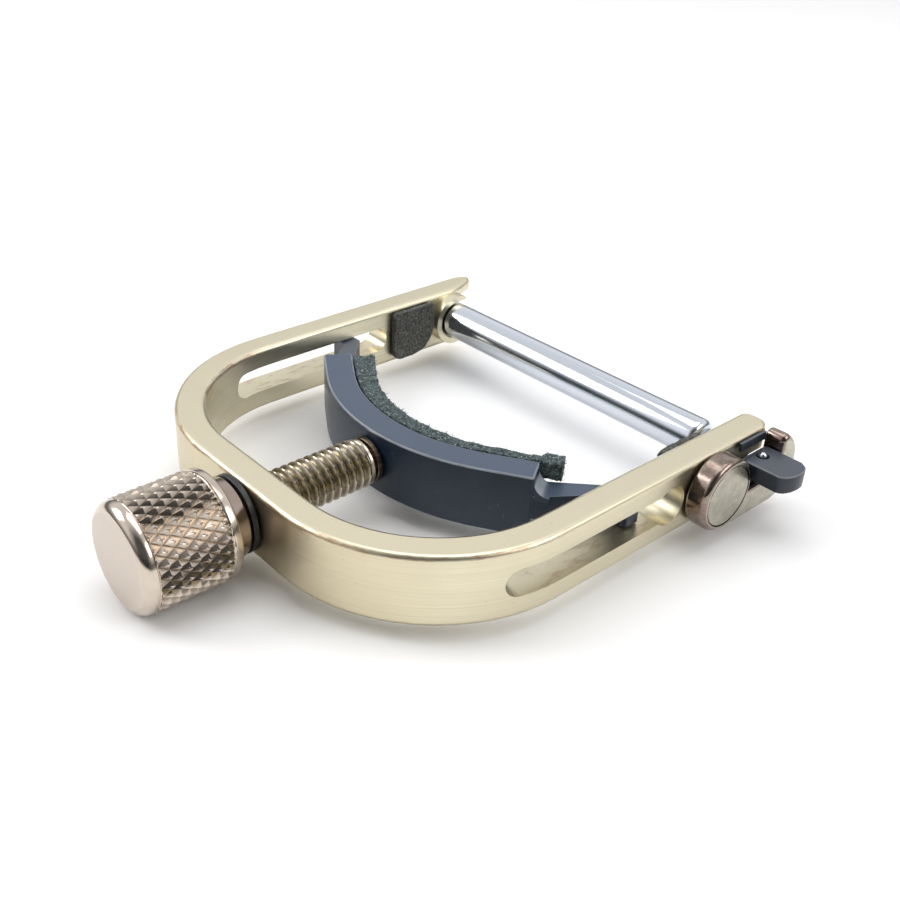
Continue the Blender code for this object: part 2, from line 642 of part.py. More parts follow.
# ---- screw ------------------------------------------------------------------------------------
def build_screw(mat):
    """Shaft in one surface: plain front in the knob, right-handed V thread, journal in the saddle."""
    core = THREAD_R - THREAD_DEPTH
    start = THREAD_START + THREAD_PITCH / 2
    rows = int((SCREW_END - THREAD_PITCH - start) / THREAD_PITCH) * THREAD_STEPS
    root = THREAD_PITCH * 0.46
    crest = THREAD_PITCH * 0.07
    bm = bmesh.new()

    def spot(i, along, radius):
        turn = 2 * math.pi * i / THREAD_STEPS
        return bm.verts.new(metres(radius * math.sin(turn), along, AXIS_Z + radius * math.cos(turn)))

    def ring(along, radius):
        return [spot(i, along, radius) for i in range(THREAD_STEPS)]

    def join(a, b):
        for i in range(THREAD_STEPS):
            j = (i + 1) % THREAD_STEPS
            bm.faces.new((a[i], a[j], b[j], b[i]))

    thread = []
    for i in range(rows + 1):
        mid = start + THREAD_PITCH * i / THREAD_STEPS
        reach = core + THREAD_DEPTH * min(1.0, 0.1 + i / 9, 0.1 + (rows - i) / 9)
        section = ((-root, core), (-crest, reach), (crest, reach), (root, core))
        thread.append([spot(i, mid + along, radius) for along, radius in section])
    for i in range(rows):
        for k in range(3):
            bm.faces.new((thread[i][k], thread[i][k + 1], thread[i + 1][k + 1], thread[i + 1][k]))
    for i in range(rows - THREAD_STEPS):
        j = i + THREAD_STEPS
        bm.faces.new((thread[i][3], thread[j][0], thread[j + 1][0], thread[i + 1][3]))
    bm.faces.new(thread[0])
    bm.faces.new(thread[-1])

    # The first and last turns meet a plain ring; one face at each end also takes in the ridge's foot.
    last = THREAD_STEPS - 1
    front = ring(start - root - 0.3, core)
    for i in range(last):
        bm.faces.new((front[i], front[i + 1], thread[i + 1][0], thread[i][0]))
    bm.faces.new((front[last], front[0], thread[0][0], thread[0][3], thread[last + 1][0], thread[last][0]))
    back = ring(start + THREAD_PITCH * rows / THREAD_STEPS + root + 0.3, core)
    tail = rows - THREAD_STEPS
    for i in range(1, THREAD_STEPS):
        bm.faces.new((thread[tail + i][3], thread[tail + i + 1][3], back[(i + 1) % THREAD_STEPS], back[i]))
    bm.faces.new((thread[tail][3], thread[tail + 1][3], back[1], back[0], thread[rows][3], thread[rows][0]))

    inner = ring(SCREW_FRONT + 0.3, core)
    tip = ring(SCREW_FRONT, core - 0.3)
    join(inner, front)
    join(tip, inner)
    bm.faces.new(tip)
    previous = back
    steps = [(SCREW_END - 0.25, core), (SCREW_END, core - 0.25), (SCREW_END, JOURNAL_R)]
    for along, radius in steps + [(JOURNAL_END - 0.3, JOURNAL_R), (JOURNAL_END, JOURNAL_R - 0.3)]:
        following = ring(along, radius)
        join(previous, following)
        previous = following
    bm.faces.new(previous)
    dress(new_object("screw_shaft", bm, (0, 0, AXIS_Z), 50), mat)


def build_knob(mat):
    """Turned knob: front chamfer, plain rims, knurled drum, and a stepped shoulder at the back."""
    rim = KNOB_R - 0.12
    profile = [(KNOB_FRONT, KNOB_R - 1.25), (KNOB_FRONT + 0.55, rim - 0.35), (KNOB_FRONT + 0.8, rim)]
    profile += [(KNOB_FRONT + 1.7, rim), (KNOB_FRONT + 1.9, KNOB_R - 0.4), (KNOB_FRONT + 2.1, KNOB_R)]
    profile += [(KNOB_BAND - 1.5, KNOB_R), (KNOB_BAND - 1.3, KNOB_R - 0.4), (KNOB_BAND - 1.1, rim)]
    profile += [(KNOB_BAND - 0.25, rim), (KNOB_BAND, rim - 0.25), (KNOB_BAND, KNOB_SHOULDER_R)]
    profile += [(KNOB_BACK, KNOB_SHOULDER_R - 0.2)]
    bm = bmesh.new()
    lathe(bm, profile, (0, 0, AXIS_Z), Y, 44)
    knob = new_object("thumb_knob", bm, (0, 0, AXIS_Z), 40)
    socket = bore_cutter("cut_knob", (0, 0, AXIS_Z), Y, SCREW_FRONT - GAP, 2, THREAD_R + GAP, 32)
    boolean(knob, socket)
    dress(knob, mat)


def build_ring(name, inner, outer, low, high, mat):
    bm = bmesh.new()
    tube(bm, inner, outer, low, high, (0, 0, AXIS_Z), Y, 36)
    dress(new_object(name, bm, (0, (low + high) / 2, AXIS_Z), 30), mat)


# ---- assembly ---------------------------------------------------------------------------------
def clear():
    for obj in list(bpy.data.objects):
        bpy.data.objects.remove(obj, do_unlink=True)


def main():
    clear()
    nickel = antique_nickel()
    steel = polished_steel()
    black = black_metal()
    pad = pad_grey()
    bronze = washer_bronze()
    build_yoke(champagne_metal())
    build_pad("left_arm_pad", -1, pad)
    build_pad("right_arm_pad", 1, pad)
    build_string_bar(steel)
    build_bar_tang(steel)
    build_hinge_pin(steel)
    build_latch_block(nickel)
    build_rivet(nickel)
    lever = black_lever()
    build_cam_lever(lever)
    build_trunnion("near_trunnion", LEVER_Y - 4.5, LEVER_Y - 1.5, steel)
    build_trunnion("far_trunnion", LEVER_Y + 1.5, LEVER_Y + 5.3, steel)
    build_detent_ball(steel)
    build_detent_spring(steel)
    build_leaf_spring(lever)
    build_saddle(black)
    build_felt(felt_grey())
    build_screw(screw_metal())
    build_knob(knob_metal())
    build_ring("knob_washer", THREAD_R + GAP, KNOB_SHOULDER_R - 0.2, -GAP - WASHER_T, -GAP, black)
    build_ring("thrust_washer", JOURNAL_R + GAP, 3.0, SCREW_END + 0.35, SADDLE_BACK - GAP, bronze)
    build_ring("swivel_clip", JOURNAL_R + GAP, 3.1, SADDLE_BACK + 2.2, SADDLE_BACK + 2.8, steel)


main()
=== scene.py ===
import math

import bmesh
import bpy
from mathutils import Matrix, Vector, noise


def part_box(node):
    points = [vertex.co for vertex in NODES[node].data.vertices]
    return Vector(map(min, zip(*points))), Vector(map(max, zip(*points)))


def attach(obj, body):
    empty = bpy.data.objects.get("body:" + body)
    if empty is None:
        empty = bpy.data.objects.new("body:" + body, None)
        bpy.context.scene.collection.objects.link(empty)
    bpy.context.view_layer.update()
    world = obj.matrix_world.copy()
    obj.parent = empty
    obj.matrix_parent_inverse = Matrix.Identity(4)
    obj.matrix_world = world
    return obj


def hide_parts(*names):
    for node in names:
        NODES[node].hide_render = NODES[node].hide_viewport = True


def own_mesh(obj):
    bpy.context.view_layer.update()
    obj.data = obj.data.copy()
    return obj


bl_info = {
    "name": "Screw Capo",
    "version": (1, 0, 0),
    "blender": (4, 5, 0),
    "location": "3D View > Sidebar > Capo",
    "description": "Dresses the capo's frame: knurl, thread, felt, polished bar and plated yoke",
    "category": "Object",
}

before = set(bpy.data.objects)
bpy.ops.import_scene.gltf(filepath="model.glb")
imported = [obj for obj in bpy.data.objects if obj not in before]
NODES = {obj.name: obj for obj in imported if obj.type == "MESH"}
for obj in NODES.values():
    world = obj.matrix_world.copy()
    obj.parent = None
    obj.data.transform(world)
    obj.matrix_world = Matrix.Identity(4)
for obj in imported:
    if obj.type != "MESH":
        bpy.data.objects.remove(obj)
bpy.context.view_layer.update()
MM = 0.001

KNOB_LOW, KNOB_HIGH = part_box("thumb_knob")
YOKE_LOW, YOKE_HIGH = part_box("yoke")
BAR_LOW, BAR_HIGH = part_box("string_bar")
SPRING_LOW, SPRING_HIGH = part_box("detent_spring")
AXIS_X = (KNOB_LOW.x + KNOB_HIGH.x) / 2
AXIS_Z = (KNOB_LOW.z + KNOB_HIGH.z) / 2
KNOB_R = (KNOB_HIGH.z - KNOB_LOW.z) / 2
BASE_Y = YOKE_LOW.y


# ---- sizes and colours ------------------------------------------------------------------------
def length_setting(name, description, default, least, most):
    """A length whose default and limits are given in millimetres."""
    return bpy.props.FloatProperty(name=name, description=description, default=default * MM,
                                   min=least * MM, max=most * MM, precision=5, unit="LENGTH")


def colour_setting(name, description, default):
    return bpy.props.FloatVectorProperty(name=name, description=description, default=default,
                                         subtype="COLOR", size=3, min=0, max=1)


class CapoSizes(bpy.types.PropertyGroup):
    """Fine sizes that the frame leaves open."""

    knurl_starts: bpy.props.IntProperty(
        name="Knurl starts", description="Diamonds once round the knob", default=30, min=8, max=60)
    knurl_period: length_setting("Knurl period", "Length of one diamond along the knob", 2.34, 0.5, 6)
    knurl_depth: length_setting("Knurl depth", "Depth of the grooves between the diamonds", 0.44, 0.05, 1)
    thread_pitch: length_setting("Thread pitch", "Advance of the screw in one turn", 1.12, 0.5, 3)
    thread_depth: length_setting("Thread depth", "Height of the thread's ridge", 0.62, 0.1, 1.5)
    edge_round: length_setting("Edge rounding", "Rounding of the small machined edges", 0.13, 0.02, 0.4)
    fibre_length: length_setting("Felt fibre", "Length of a loose fibre on the felt", 0.32, 0.1, 3)
    fibre_density: bpy.props.FloatProperty(
        name="Felt fibres per square centimetre", description="How thickly the felt's nap stands",
        default=600.0, min=0.0, max=3000.0)


class CapoColours(bpy.types.PropertyGroup):
    """Base colours of the finishes, in linear light."""

    champagne: colour_setting("Champagne plating", "Plating on the yoke", (0.73, 0.675, 0.50))
    nickel: colour_setting("Antique nickel", "Plating on the latch block and the rivet", (0.47, 0.445, 0.365))
    knob: colour_setting("Knob plating", "Plating on the knob", (0.66, 0.59, 0.51))
    bronze: colour_setting("Screw bronze", "Plating on the screw", (0.33, 0.275, 0.205))
    steel: colour_setting("Polished steel", "String bar and pins", (0.66, 0.70, 0.76))
    saddle: colour_setting("Saddle black", "Satin black of the saddle", (0.008, 0.020, 0.042))
    lever: colour_setting("Lever black", "Satin black of the lever", (0.014, 0.020, 0.030))
    felt: colour_setting("Felt", "Middle tone of the felt", (0.052, 0.072, 0.074))
    lining: colour_setting("Arm lining", "Middle tone of the linings in the arms", (0.065, 0.065, 0.058))


# ---- finishes ---------------------------------------------------------------------------------
class NodeMaker:
    """Short calls for adding and linking the nodes of one tree."""

    def __init__(self, tree):
        self.nodes = tree.nodes
        self.links = tree.links

    def put(self, kind, inputs=(), **settings):
        """A new node; an input is a value or the socket that feeds it."""
        node = self.nodes.new(kind)
        for key, value in settings.items():
            setattr(node, key, value)
        for key, value in dict(inputs).items():
            if isinstance(value, bpy.types.NodeSocket):
                self.links.new(value, node.inputs[key])
            else:
                node.inputs[key].default_value = value
        return node

    def maths(self, operation, a, b=0.0, c=0.0):
        return self.put("ShaderNodeMath", {0: a, 1: b, 2: c}, operation=operation).outputs[0]

    def times(self, first, *others):
        for other in others:
            first = self.maths("MULTIPLY", first, other)
        return first

    def remap(self, value, low, high, out_low=0.0, out_high=1.0):
        inputs = {0: value, 1: low, 2: high, 3: out_low, 4: out_high}
        return self.put("ShaderNodeMapRange", inputs).outputs[0]

    def split(self, vector):
        return self.put("ShaderNodeSeparateXYZ", {0: vector}).outputs


class Graph(NodeMaker):
    """The shader nodes of one finish."""

    def __init__(self, name, **constants):
        self.material = bpy.data.materials.new(name)
        self.material.use_nodes = True
        super().__init__(self.material.node_tree)
        self.shader = self.nodes["Principled BSDF"]
        self.place = self.put("ShaderNodeTexCoord").outputs["Object"]
        for key, value in constants.items():
            self.shader.inputs[key.replace("_", " ")].default_value = value

    def noise(self, cell, detail=2.0, rough=0.5):
        """Noise with cells of the given millimetres, along X, Y and Z or the same along all three."""
        cells = cell if isinstance(cell, tuple) else (cell,) * 3
        scale = tuple(1 / (size * MM) for size in cells)
        spot = self.put("ShaderNodeMapping", {"Vector": self.place, "Scale": scale})
        inputs = {"Vector": spot.outputs[0], "Scale": 1.0, "Detail": detail, "Roughness": rough}
        return self.put("ShaderNodeTexNoise", inputs).outputs["Fac"]

    def mix(self, factor, a, b):
        inputs = {0: factor, 6: rgba(a), 7: rgba(b)}
        return self.put("ShaderNodeMix", inputs, data_type="RGBA").outputs[2]

    def facing(self):
        """The surface normal's three parts."""
        return self.split(self.put("ShaderNodeNewGeometry").outputs["Normal"])

    def attribute(self, name):
        return self.put("ShaderNodeAttribute", attribute_name=name).outputs["Fac"]

    def bump(self, height, depth, strength=1.0, after=None):
        inputs = {"Height": height, "Distance": depth * MM, "Strength": strength}
        if after is not None:
            inputs["Normal"] = after
        return self.put("ShaderNodeBump", inputs).outputs["Normal"]

    def wire(self, **sockets):
        for key, value in sockets.items():
            self.links.new(value, self.shader.inputs[key.replace("_", " ")])
        return self.material


def rgba(colour):
    """A colour with an alpha, or a socket as it is."""
    if isinstance(colour, bpy.types.NodeSocket):
        return colour
    return (*tuple(colour)[:3], 1.0)


def shade(colour, factor):
    """A colour made lighter or darker by a factor."""
    return tuple(min(1.0, part * factor) for part in tuple(colour)[:3])


def tint(colour, other, share):
    """A colour with a share of another mixed in."""
    return tuple(a * (1 - share) + b * share for a, b in zip(tuple(colour)[:3], other))


COPPER = (0.36, 0.19, 0.11)
PLUM = (0.17, 0.10, 0.09)


def band_mask(g, value, low, inner_low, inner_high, high):
    """1 between the two inner values, falling to 0 at the outer ones."""
    rise = g.remap(value, low, inner_low)
    fall = g.remap(value, inner_high, high, 1.0, 0.0)
    return g.times(rise, fall)


def plated_champagne(colours):
    """Satin plating brushed along the strip, rubbed through to copper on its worn edges."""
    g = Graph("champagne_plate", Metallic=1.0)
    base = colours.champagne
    lines = g.noise((38, 38, 0.085), 4, 0.62)
    wide = g.noise((55, 55, 0.55), 2, 0.5)
    cloud = g.noise((7, 7, 5), 3, 0.55)
    grain = g.noise(0.16, 2, 0.6)
    facing = g.facing()
    spot = g.split(g.place)
    side = g.remap(g.maths("ABSOLUTE", facing[2]), 0.9, 0.6)
    brushed = g.mix(g.remap(lines, 0.32, 0.68), shade(base, 0.86), shade(base, 1.1))
    streaked = g.mix(g.remap(wide, 0.35, 0.7, 0.0, 0.3), brushed, tint(base, (0.62, 0.5, 0.36), 0.5))
    plain = g.mix(g.remap(grain, 0.35, 0.7), shade(base, 0.95), shade(base, 1.03))
    skin = g.mix(side, plain, streaked)
    aged = g.mix(g.remap(cloud, 0.35, 0.75, 0.0, 0.35), skin, tint(base, (0.60, 0.52, 0.40), 0.6))
    # Rubbed edge: the upper rounding between the outer face and the top, near the base and the bends.
    rim = band_mask(g, facing[2], 0.12, 0.3, 0.75, 0.95)
    upper = g.remap(spot[2], YOKE_HIGH.z - 1.2 * MM, YOKE_HIGH.z - 0.5 * MM)
    near = g.remap(spot[1], BASE_Y + 14 * MM, BASE_Y + 26 * MM, 1.0, 0.0)
    patch = g.remap(g.noise((3.2, 3.2, 0.5), 4, 0.7), 0.46, 0.62)
    rubbed = g.times(rim, upper, near, patch)
    # Scuffs along the lower wall of the guide slots, left by the saddle's lugs.
    slot_floor = (YOKE_LOW.z + YOKE_HIGH.z) / 2 - 1.85 * MM
    floor = band_mask(g, spot[2], slot_floor - 0.12 * MM, slot_floor - 0.04 * MM, slot_floor + 0.06 * MM,
                      slot_floor + 0.3 * MM)
    along = g.remap(spot[1], BASE_Y + 18 * MM, BASE_Y + 20 * MM)
    scuff = g.remap(g.noise((0.9, 2.6, 0.5), 4, 0.6), 0.5, 0.66)
    level = g.remap(facing[2], 0.6, 0.9)
    scuffed = g.times(floor, along, scuff, level)
    worn = g.maths("MAXIMUM", g.times(rubbed, 0.75), g.times(scuffed, 0.4))
    handled = g.times(side, g.remap(spot[1], BASE_Y + 0.5 * MM, BASE_Y + 9 * MM, 0.55, 0.0))
    aged = g.mix(handled, aged, tint(base, (0.50, 0.38, 0.22), 0.55))
    dots = g.remap(g.noise((0.35, 0.35, 0.3), 1, 0.4), 0.765, 0.80, 0.0, 0.35)
    speckled = g.mix(dots, aged, (0.22, 0.15, 0.10))
    colour = g.mix(worn, speckled, COPPER)
    rough = g.maths("ADD", g.remap(lines, 0.3, 0.7, 0.27, 0.40), g.remap(cloud, 0.3, 0.7, -0.03, 0.05))
    brushing = g.bump(g.times(lines, side), 0.014, 0.55)
    normal = g.bump(grain, 0.006, 0.35, brushing)
    return g.wire(Base_Color=colour, Roughness=rough, Normal=normal)


def plated_nickel(colours):
    """Antique nickel: satin, mottled flats and a darker, polished rim."""
    g = Graph("antique_nickel_plate", Metallic=1.0)
    base = colours.nickel
    facing = g.facing()
    flat = g.remap(facing[0], 0.93, 0.995)
    mottle = g.noise((1.1, 1.1, 0.9), 5, 0.68)
    fine = g.noise((0.14, 0.5, 0.14), 3, 0.6)
    face = g.mix(g.remap(mottle, 0.34, 0.66), shade(base, 0.8), tint(base, (0.58, 0.56, 0.46), 0.4))
    rim = g.mix(g.remap(mottle, 0.35, 0.65), tint(PLUM, base, 0.15), tint(PLUM, base, 0.5))
    colour = g.mix(flat, rim, face)
    rough = g.maths("ADD", g.remap(flat, 0, 1, 0.15, 0.30), g.remap(fine, 0.3, 0.7, -0.04, 0.07))
    normal = g.bump(fine, 0.006, 0.4, g.bump(mottle, 0.02, 0.25))
    return g.wire(Base_Color=colour, Roughness=rough, Normal=normal)


def plated_knob(colours):
    """Knob plating: matt front face, bright rims, tarnish in the knurl's grooves and painted shade on the
    back shoulder.
    """
    g = Graph("knob_plate", Metallic=1.0)
    base = colours.knob
    facing = g.facing()
    spot = g.split(g.place)
    front = g.remap(facing[1], -0.90, -0.985)
    groove = g.remap(g.attribute("groove"), 0.12, 0.95)
    mottle = g.noise(1.6, 4, 0.6)
    grain = g.noise(0.13, 3, 0.65)
    rings = g.noise((30, 0.07, 30), 3, 0.6)
    bright = g.mix(g.remap(mottle, 0.35, 0.68), shade(base, 0.84), tint(base, (0.62, 0.48, 0.36), 0.35))
    sides = g.mix(g.remap(rings, 0.4, 0.62, 0.0, 0.6), bright, tint(base, COPPER, 0.2))
    dulled = g.mix(g.times(groove, 0.6), sides, (0.20, 0.165, 0.125))
    matt = g.mix(g.remap(grain, 0.3, 0.7), shade(base, 0.93), tint(base, (0.68, 0.58, 0.53), 0.5))
    colour = g.mix(front, dulled, matt)
    # Painted shade: the back shoulder, where the knob runs into the base, is darkened towards plum.
    tail = g.remap(spot[1], KNOB_HIGH.y - 1.9 * MM, KNOB_HIGH.y - 2.05 * MM, 1.0, 0.0)
    colour = g.mix(g.times(tail, 0.55), colour, PLUM)
    rough = g.maths("ADD", g.remap(front, 0, 1, 0.12, 0.42), g.remap(grain, 0.3, 0.7, -0.03, 0.06))
    turning = g.times(rings, g.remap(front, 0, 1, 1.0, 0.0))
    normal = g.bump(grain, 0.006, 0.45, g.bump(turning, 0.012, 0.45))
    return g.wire(Base_Color=colour, Roughness=rough, Normal=normal)


def plated_screw(colours):
    """Bronze-tinted plating, bright on the crests and dull in the roots."""
    g = Graph("screw_bronze", Metallic=1.0)
    base = colours.bronze
    root = g.remap(g.attribute("groove"), 0.08, 0.45)
    mottle = g.noise(1.2, 4, 0.65)
    along = g.noise((0.3, 3.0, 0.3), 3, 0.6)
    warm = g.mix(g.remap(mottle, 0.35, 0.65), shade(base, 0.9), tint(base, (0.62, 0.56, 0.48), 0.6))
    brassy = g.mix(g.remap(along, 0.5, 0.68, 0.0, 0.6), warm, (0.40, 0.34, 0.13))
    flank = g.mix(g.remap(along, 0.42, 0.62), (0.125, 0.105, 0.095), (0.22, 0.185, 0.075))
    colour = g.mix(g.times(root, 0.9), g.mix(0.5, brassy, (0.72, 0.66, 0.58)), flank)
    rough = g.remap(mottle, 0.3, 0.7, 0.20, 0.34)
    return g.wire(Base_Color=colour, Roughness=rough, Normal=g.bump(mottle, 0.008, 0.4))


def polished_steel(colours):
    """Mirror steel with hairlines and faint wear along the bar."""
    g = Graph("mirror_steel", Metallic=1.0)
    base = colours.steel
    hair = g.noise((9.0, 0.09, 0.09), 3, 0.6)
    rub = g.noise((4.0, 2.0, 2.0), 3, 0.6)
    colour = g.mix(g.remap(hair, 0.35, 0.7), shade(base, 0.93), base)
    rough = g.maths("ADD", g.remap(rub, 0.3, 0.7, 0.07, 0.15), g.remap(hair, 0.4, 0.7, 0.0, 0.05))
    return g.wire(Base_Color=colour, Roughness=rough, Normal=g.bump(hair, 0.003, 0.35))


def satin_black(name, base, painted_light_and_nick_tone):
    """Satin black coating with a fine orange peel and a few pale nicks, with painted light on its level tops
    and a painted highlight along its upward edge roundings.
    """
    g = Graph(name, Metallic=0.0, Specular_IOR_Level=0.45)
    peel = g.noise(0.22, 3, 0.6)
    cloud = g.noise((5.0, 5.0, 4.0), 4, 0.6)
    nicks = g.remap(g.noise((0.5, 0.5, 0.9), 2, 0.5), 0.70, 0.76)
    tone = g.mix(g.remap(cloud, 0.3, 0.72), shade(base, 0.82), shade(base, 1.25))
    # Painted highlight: edge roundings that tilt upwards are greyed towards the light tone, patchily along
    # their length.
    rounding = band_mask(g, g.facing()[2], 0.15, 0.35, 0.85, 0.97)
    edges = g.times(rounding, g.remap(cloud, 0.25, 0.6, 0.45, 0.9))
    # Painted light: faces that look straight up are made lighter than the sides.
    level = g.remap(g.facing()[2], 0.75, 0.98)
    tone = g.mix(level, tone, tint(shade(base, 1.9), painted_light_and_nick_tone, 0.15))
    tone = g.mix(edges, tone, painted_light_and_nick_tone)
    colour = g.mix(g.times(nicks, 0.16), tone, painted_light_and_nick_tone)
    rough = g.maths("ADD", g.remap(cloud, 0.3, 0.7, 0.30, 0.40), g.remap(peel, 0.3, 0.7, -0.03, 0.05))
    return g.wire(Base_Color=colour, Roughness=rough, Normal=g.bump(peel, 0.010, 0.35))


def fuzzy_cloth(name, base, light):
    """Pressed fibres: dark and middle tones with a few pale fibres."""
    g = Graph(name, Roughness=0.95, Sheen_Weight=0.12, Sheen_Roughness=0.55, Specular_IOR_Level=0.25)
    fibre = g.noise(0.42, 4, 0.78)
    clump = g.noise(1.3, 2, 0.5)
    pale = g.remap(g.noise(0.28, 2, 0.6), 0.60, 0.70)
    tone = g.mix(g.remap(fibre, 0.36, 0.64), shade(base, 0.12), shade(base, 2.3))
    tone = g.mix(g.remap(clump, 0.35, 0.7, 0.0, 0.45), tone, shade(base, 0.5))
    colour = g.mix(g.times(pale, 0.8), tone, light)
    return g.wire(Base_Color=colour, Normal=g.bump(fibre, 0.12, 0.8))


def bronze_washer():
    g = Graph("washer_bronze_plain", Metallic=1.0)
    turned_lines = g.noise((0.3, 20, 0.3), 3, 0.6)
    colour = g.mix(g.remap(turned_lines, 0.35, 0.65), (0.10, 0.075, 0.055), (0.22, 0.16, 0.11))
    rough = g.remap(turned_lines, 0.3, 0.7, 0.25, 0.42)
    return g.wire(Base_Color=colour, Roughness=rough, Normal=g.bump(turned_lines, 0.006, 0.4))


def pale_paper():
    """The studio floor: pale, matt, nearly even."""
    g = Graph("studio_paper", Roughness=0.9, Specular_IOR_Level=0.1)
    cloud = g.noise(90, 2, 0.5)
    colour = g.mix(g.remap(cloud, 0.3, 0.7), (0.965, 0.965, 0.96), (0.98, 0.98, 0.975))
    return g.wire(Base_Color=colour)


# ---- mesh helpers -----------------------------------------------------------------------------
def finished(obj, body, slot, *nodes):
    """Parent a finished piece to its moving body and hide the CAD nodes it stands for; slot is not used."""
    if nodes:
        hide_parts(*nodes)
    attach(obj, body)
    return obj


def link_mesh(name, bm, material=None, smooth_deg=None):
    """Turn mesh data into an object at the origin."""
    mesh = bpy.data.meshes.new(name)
    bm.to_mesh(mesh)
    bm.free()
    if smooth_deg is not None:
        mesh.shade_smooth()
        mesh.set_sharp_from_angle(angle=math.radians(smooth_deg))
    if material is not None:
        mesh.materials.append(material)
    obj = bpy.data.objects.new(name, mesh)
    bpy.context.scene.collection.objects.link(obj)
    return obj


def merged_copy(node):
    """The CAD node's solid as one clean mesh, with flat regions back in one face."""
    bm = bmesh.new()
    bm.from_mesh(NODES[node].data)
    bmesh.ops.remove_doubles(bm, verts=bm.verts, dist=2e-6)
    bmesh.ops.dissolve_limit(bm, angle_limit=math.radians(0.6), verts=bm.verts, edges=bm.edges)
    return bm


def soften(obj, width, limit_deg=48):
    """Round the machined edges and keep the flats flat."""
    mod = obj.modifiers.new("edges", "BEVEL")
    mod.width = width
    mod.segments = 2
    mod.limit_method = "ANGLE"
    mod.angle_limit = math.radians(limit_deg)
    flat = obj.modifiers.new("flats", "WEIGHTED_NORMAL")
    flat.keep_sharp = True
    flat.weight = 60


def dressed(node, name, material, body, slot, width, limit_deg=48, smooth_deg=50):
    """A finished piece with the CAD node's own shape and its machined edges rounded."""
    obj = link_mesh(name, merged_copy(node), material, smooth_deg)
    if width:
        soften(obj, width, limit_deg)
    return finished(obj, body, slot, node)


def turned(name, rows, centre, axis, segments, material, smooth_deg=40, knurl=None):
    """Solid of revolution about X or Y from rows of (along, radius) or (along, radius, share of the cut).

    knurl gives the first and last row of a knurled band, whose quads split along the crossing grooves,
    8 to a period both ways.
    """
    bm = bmesh.new()
    layer = bm.verts.layers.float.new("cut")
    rings = []
    for along, radius, *share in rows:
        ring = []
        for i in range(segments):
            turn = 2 * math.pi * i / segments
            across, up = radius * math.sin(turn), radius * math.cos(turn)
            if axis == "Y":
                spot = (centre[0] + across, along, centre[2] + up)
            else:
                spot = (along, centre[1] - across, centre[2] + up)
            vert = bm.verts.new(spot)
            vert[layer] = share[0] if share else 0.0
            ring.append(vert)
        rings.append(ring)
    bm.faces.new(rings[0])
    bm.faces.new(rings[-1])
    for row, (a, b) in enumerate(zip(rings, rings[1:])):
        for i in range(segments):
            j = (i + 1) % segments
            if knurl is None or not knurl[0] <= row < knurl[1]:
                bm.faces.new((a[i], a[j], b[j], b[i]))
            elif (row - knurl[0] + i + 1) % 8 == 0:
                bm.faces.new((a[i], a[j], b[i]))
                bm.faces.new((a[j], b[j], b[i]))
            else:
                bm.faces.new((a[i], a[j], b[j]))
                bm.faces.new((a[i], b[j], b[i]))
    bmesh.ops.recalc_face_normals(bm, faces=bm.faces)
    return link_mesh(name, bm, material, smooth_deg)


def turned_on_screw(name, rows, segments, material, smooth_deg, knurl=None):
    """Piece turned about the screw's axis, from rows in millimetres out from the yoke's base."""
    rows = [(BASE_Y + along * MM, radius * MM, *share) for along, radius, *share in rows]
    return turned(name, rows, (AXIS_X, 0, AXIS_Z), "Y", segments, material, smooth_deg, knurl)


def settle(obj):
    """Keep the evaluated shape as the piece's plain mesh."""
    bpy.context.view_layer.update()
    graph = bpy.context.evaluated_depsgraph_get()
    mesh = bpy.data.meshes.new_from_object(obj.evaluated_get(graph))
    obj.modifiers.clear()
    old = obj.data
    obj.data = mesh
    bpy.data.meshes.remove(old)


def bake(obj, tree, values):
    """Run a geometry tree on an object, with its inputs by name, and keep the result."""
    mod = obj.modifiers.new(tree.name, "NODES")
    mod.node_group = tree
    for item in tree.interface.items_tree:
        if item.item_type == "SOCKET" and item.in_out == "INPUT" and item.name in values:
            mod[item.identifier] = values[item.name]
    settle(obj)


